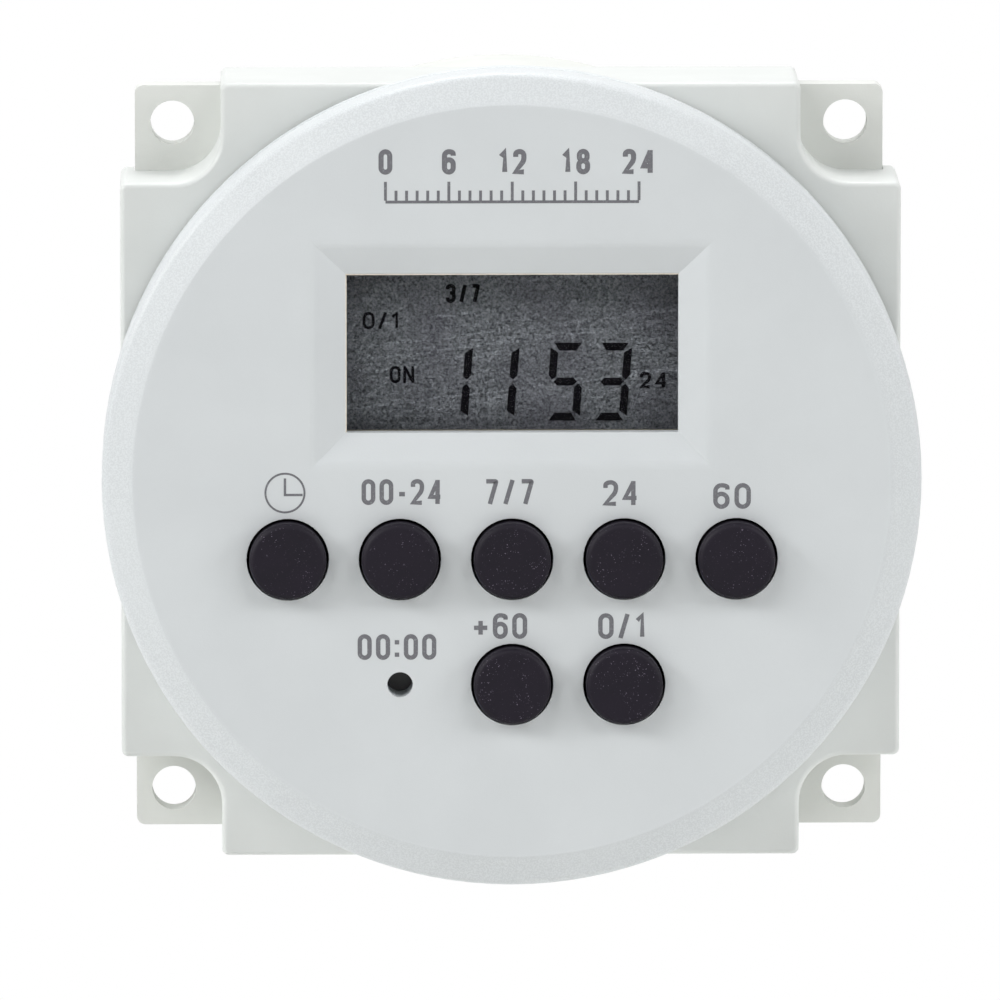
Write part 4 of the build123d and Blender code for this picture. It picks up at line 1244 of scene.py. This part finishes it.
    def end_seals(self) -> bpy.types.Object:
        """Builds the beads that close the cell above and below its rear glass.

        Returns:
            The piece.
        """
        shape = bmesh.new()
        half_w, half_h = (v / 2 for v in self.window_size)
        x, z = self.window_middle
        place = Matrix.Translation((x, self.crystal_y + self.seal_depth, z))
        for low in (-half_h - self.seal_width, half_h):
            strip = rectangle(-half_w, low, half_w, low + self.seal_width)
            raise_plate(shape, strip, place, self.seal_depth)
        return new_piece(
            "end_seals", shape, self.wardrobe.get(FINISHES["lcd_backing"])
        )

    def build(self) -> list[bpy.types.Object]:
        """Lights the display, closes its edges and gives their pieces."""
        return [
            self.lit_digits(), self.lit_signs(), self.window_tape(),
            self.adhesive_edge(), self.end_seals(),
        ]


@dataclass
class RearMarks:
    """What the mould leaves on the back: a raised number by each blade, pin marks."""

    wardrobe: Wardrobe
    # The outer face of the barrel's back wall, which the blades stand out of
    back_y: float = 31.5 * MM
    blade_pitch: float = 10.0 * MM
    blade_count: int = 5
    numbers_z: float = -3.2 * MM
    number_height: float = 3.0 * MM
    number_lift: float = 0.4 * MM
    pin_radius: float = 1.6 * MM
    pin_circle: float = 25.0 * MM
    pin_count: int = 6
    pin_depth: float = 0.12 * MM
    # A mark's top is this share of its foot's width, and is dished inside its rim
    pin_taper: float = 0.94
    rim_width: float = 0.18 * MM
    dish_depth: float = 0.04 * MM

    def blade_numbers(self) -> bpy.types.Object:
        """Builds a plain number over each blade, counted from the left from behind.

        Returns:
            The piece.
        """
        shape = bmesh.new()
        for number in range(self.blade_count):
            x = ((self.blade_count - 1) / 2 - number) * self.blade_pitch
            letter(
                shape, str(number + 1), (x, self.numbers_z), (0, self.number_height),
                self.back_y, self.number_lift, Facing.BACK,
            )
        piece = new_piece(
            "blade_numbers", shape, self.wardrobe.get(FINISHES["rear_plastic"])
        )
        return piece

    def pin_marks(self) -> bpy.types.Object:
        """Builds the faint round marks of the mould's ejector pins.

        Returns:
            The piece.
        """
        shape = bmesh.new()
        for pin in range(self.pin_count):
            angle = math.tau * pin / self.pin_count
            centre = Vector((math.cos(angle), 0, math.sin(angle))) * self.pin_circle
            place = Matrix.Translation(centre + Vector((0, self.back_y, 0)))
            made = bmesh.ops.create_cone(
                shape, cap_ends=True, segments=40, radius1=self.pin_radius,
                radius2=self.pin_radius * self.pin_taper, depth=self.pin_depth,
                matrix=place @ Facing.BACK.turn(),
            )
            # The caps are the only faces with more than four corners
            caps = [
                face for face in shape.faces
                if len(face.verts) > 4 and all(v in made["verts"] for v in face.verts)
            ]
            bmesh.ops.inset_region(
                shape, faces=caps, thickness=self.rim_width, depth=-self.dish_depth
            )
        piece = new_piece("pin_marks", shape, self.wardrobe.get(FINISHES["rear_plastic"]))
        return piece

    def build(self) -> list[bpy.types.Object]:
        """Marks the back and gives its pieces."""
        return [self.blade_numbers(), self.pin_marks()]


@dataclass(frozen=True)
class Lamp:
    """A square soft lamp: its place and side in metres and its power in watts."""

    name: str
    place: tuple[float, float, float]
    side: float
    power: float


@dataclass
class Studio:
    """The floor, the lamps, the white surroundings and the camera."""

    focus: Vector
    # The photograph's view: nearly straight on, a little from above and the left
    distance: float = 1.5
    elevation: float = math.radians(8.0)
    azimuth: float = math.radians(-0.95)
    view_width: float = 90.12 * MM
    sensor_mm: float = 36.0
    nearest: float = 0.05
    farthest: float = 50.0
    # Where the dial's centre stands in the picture, from its middle
    dial_right: float = 1.10 * MM
    dial_up: float = 1.585 * MM
    surround: float = 0.05
    floor_z: float = -0.16
    floor_radius: float = 2.0
    # The radii between which the floor runs out into white
    floor_fade: tuple[float, float] = (0.25, 0.6)
    lamps: tuple[Lamp, ...] = (
        Lamp("left_lamp", (-0.75, -0.85, 0.95), 0.6, 5.6),
        Lamp("right_lamp", (0.75, -0.85, 0.95), 0.6, 5.0),
        Lamp("top_lamp", (0.0, 0.45, 1.15), 0.9, 11.0),
        Lamp("left_strip", (-1.1, -0.4, 0.55), 0.4, 8.1),
        Lamp("right_strip", (1.15, -0.4, 0.42), 0.4, 5.4),
    )

    def camera(self) -> None:
        """Sets up the camera by a long lens, with no shift."""
        a, e = self.azimuth, self.elevation
        back = Vector(
            (math.sin(a) * math.cos(e), -math.cos(a) * math.cos(e), math.sin(e))
        )
        right = Vector((math.cos(a), math.sin(a), 0.0))
        up = back.cross(right)
        target = self.focus - right * self.dial_right - up * self.dial_up
        data = bpy.data.cameras.new("camera")
        data.sensor_width = self.sensor_mm
        data.lens = self.sensor_mm * self.distance / self.view_width
        data.clip_start = self.nearest
        data.clip_end = self.farthest
        camera = bpy.data.objects.new("camera", data)
        camera.location = target + back * self.distance
        camera.rotation_mode = "QUATERNION"
        camera.rotation_quaternion = (-back).to_track_quat("-Z", "Y")
        bpy.context.scene.collection.objects.link(camera)
        bpy.context.scene.camera = camera

    def light(self, lamp: Lamp) -> None:
        """Puts up a lamp that looks at the timer.

        Args:
            lamp: The lamp.
        """
        data = bpy.data.lights.new(lamp.name, "AREA")
        data.shape = "SQUARE"
        data.size = lamp.side
        data.energy = lamp.power
        stand = bpy.data.objects.new(lamp.name, data)
        stand.location = lamp.place
        stand.rotation_mode = "QUATERNION"
        aim = Vector(lamp.place) - self.focus
        stand.rotation_quaternion = aim.to_track_quat("Z", "Y")
        bpy.context.scene.collection.objects.link(stand)

    def surroundings(self) -> None:
        """Sets a white world for what is seen or mirrored, and a dim one for light."""
        world = bpy.data.worlds.new("studio")
        bpy.context.scene.world = world
        world.use_nodes = True
        tree = world.node_tree
        tree.nodes.clear()
        path = add_node(tree, "ShaderNodeLightPath", {})
        seen = path.outputs["Is Camera Ray"]
        for name in ("Is Glossy Ray", "Is Transmission Ray"):
            either = {0: seen, 1: path.outputs[name]}
            seen = add_node(tree, "ShaderNodeMath", either, operation="MAXIMUM").outputs[0]
        soft = add_node(
            tree, "ShaderNodeBackground",
            {"Color": linear("FAFCFC"), "Strength": self.surround},
        )
        white = add_node(
            tree, "ShaderNodeBackground", {"Color": linear("FFFFFF"), "Strength": 1.0}
        )
        mix = add_node(
            tree, "ShaderNodeMixShader",
            {0: seen, 1: soft.outputs[0], 2: white.outputs[0]},
        )
        add_node(tree, "ShaderNodeOutputWorld", {"Surface": mix.outputs[0]})

    def floor_board(self) -> bpy.types.Material:
        """Makes the floor's finish: matt off-white that runs out into pure white.

        Returns:
            The material.
        """
        coat = Coat("painted_board")
        near, far = self.floor_fade
        spread = coat.add(
            "ShaderNodeVectorMath", {0: coat.place}, "Value", operation="LENGTH"
        )
        fade = coat.add(
            "ShaderNodeMapRange", {"Value": spread, "From Min": near, "From Max": far}
        )
        seen = coat.add("ShaderNodeLightPath", {}, "Is Camera Ray")
        share = coat.add("ShaderNodeMath", {0: fade, 1: seen}, operation="MULTIPLY")
        white = coat.add(
            "ShaderNodeEmission", {"Color": linear("FFFFFF"), "Strength": 1.0}
        )
        paint = coat.shader.outputs[0]
        mix = coat.add("ShaderNodeMixShader", {0: share, 1: paint, 2: white})
        feed(coat.tree.nodes["Material Output"], {"Surface": mix})
        return coat.finish({"Base Color": linear("F2F2F0"), "Roughness": 0.9})

    def floor(self) -> None:
        """Lays a pale round floor."""
        shape = bmesh.new()
        bmesh.ops.create_circle(
            shape, cap_ends=True, segments=96, radius=self.floor_radius
        )
        mesh = bpy.data.meshes.new("floor")
        shape.to_mesh(mesh)
        shape.free()
        mesh.materials.append(self.floor_board())
        floor = bpy.data.objects.new("floor", mesh)
        floor.location = (0, 0, self.floor_z)
        bpy.context.scene.collection.objects.link(floor)

    def build(self) -> None:
        """Sets up the whole studio."""
        self.camera()
        self.surroundings()
        self.floor()
        for lamp in self.lamps:
            self.light(lamp)


def main() -> None:
    """Dresses the frame, builds every piece that it doesn't hold and reports each."""
    logging.basicConfig(level=logging.INFO, format="%(name)s %(message)s")
    scene = bpy.context.scene
    scene.view_settings.view_transform = "Standard"
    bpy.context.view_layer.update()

    cover_low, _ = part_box("front_cover")
    glass_low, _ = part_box("lcd_rear_glass")
    lens_low, lens_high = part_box("display_window")
    lens_middle = (lens_low + lens_high) / 2

    Studio(focus=Vector((0.0, cover_low.y, 0.0))).build()
    wardrobe = Wardrobe()
    wardrobe.dress_frame(frame["record"], frame["nodes"])
    display = DisplayFace(
        wardrobe,
        crystal_y=glass_low.y,
        window_y=lens_low.y,
        window_middle=(lens_middle.x, lens_middle.z),
    )
    for assembly in (CoverPrint(wardrobe, cover_low.y), display, RearMarks(wardrobe)):
        for piece in assembly.build():
            LOG.info("%s: %d faces", piece.name, len(piece.data.polygons))

    bpy.context.view_layer.update()


if __name__ == "__main__":
    main()
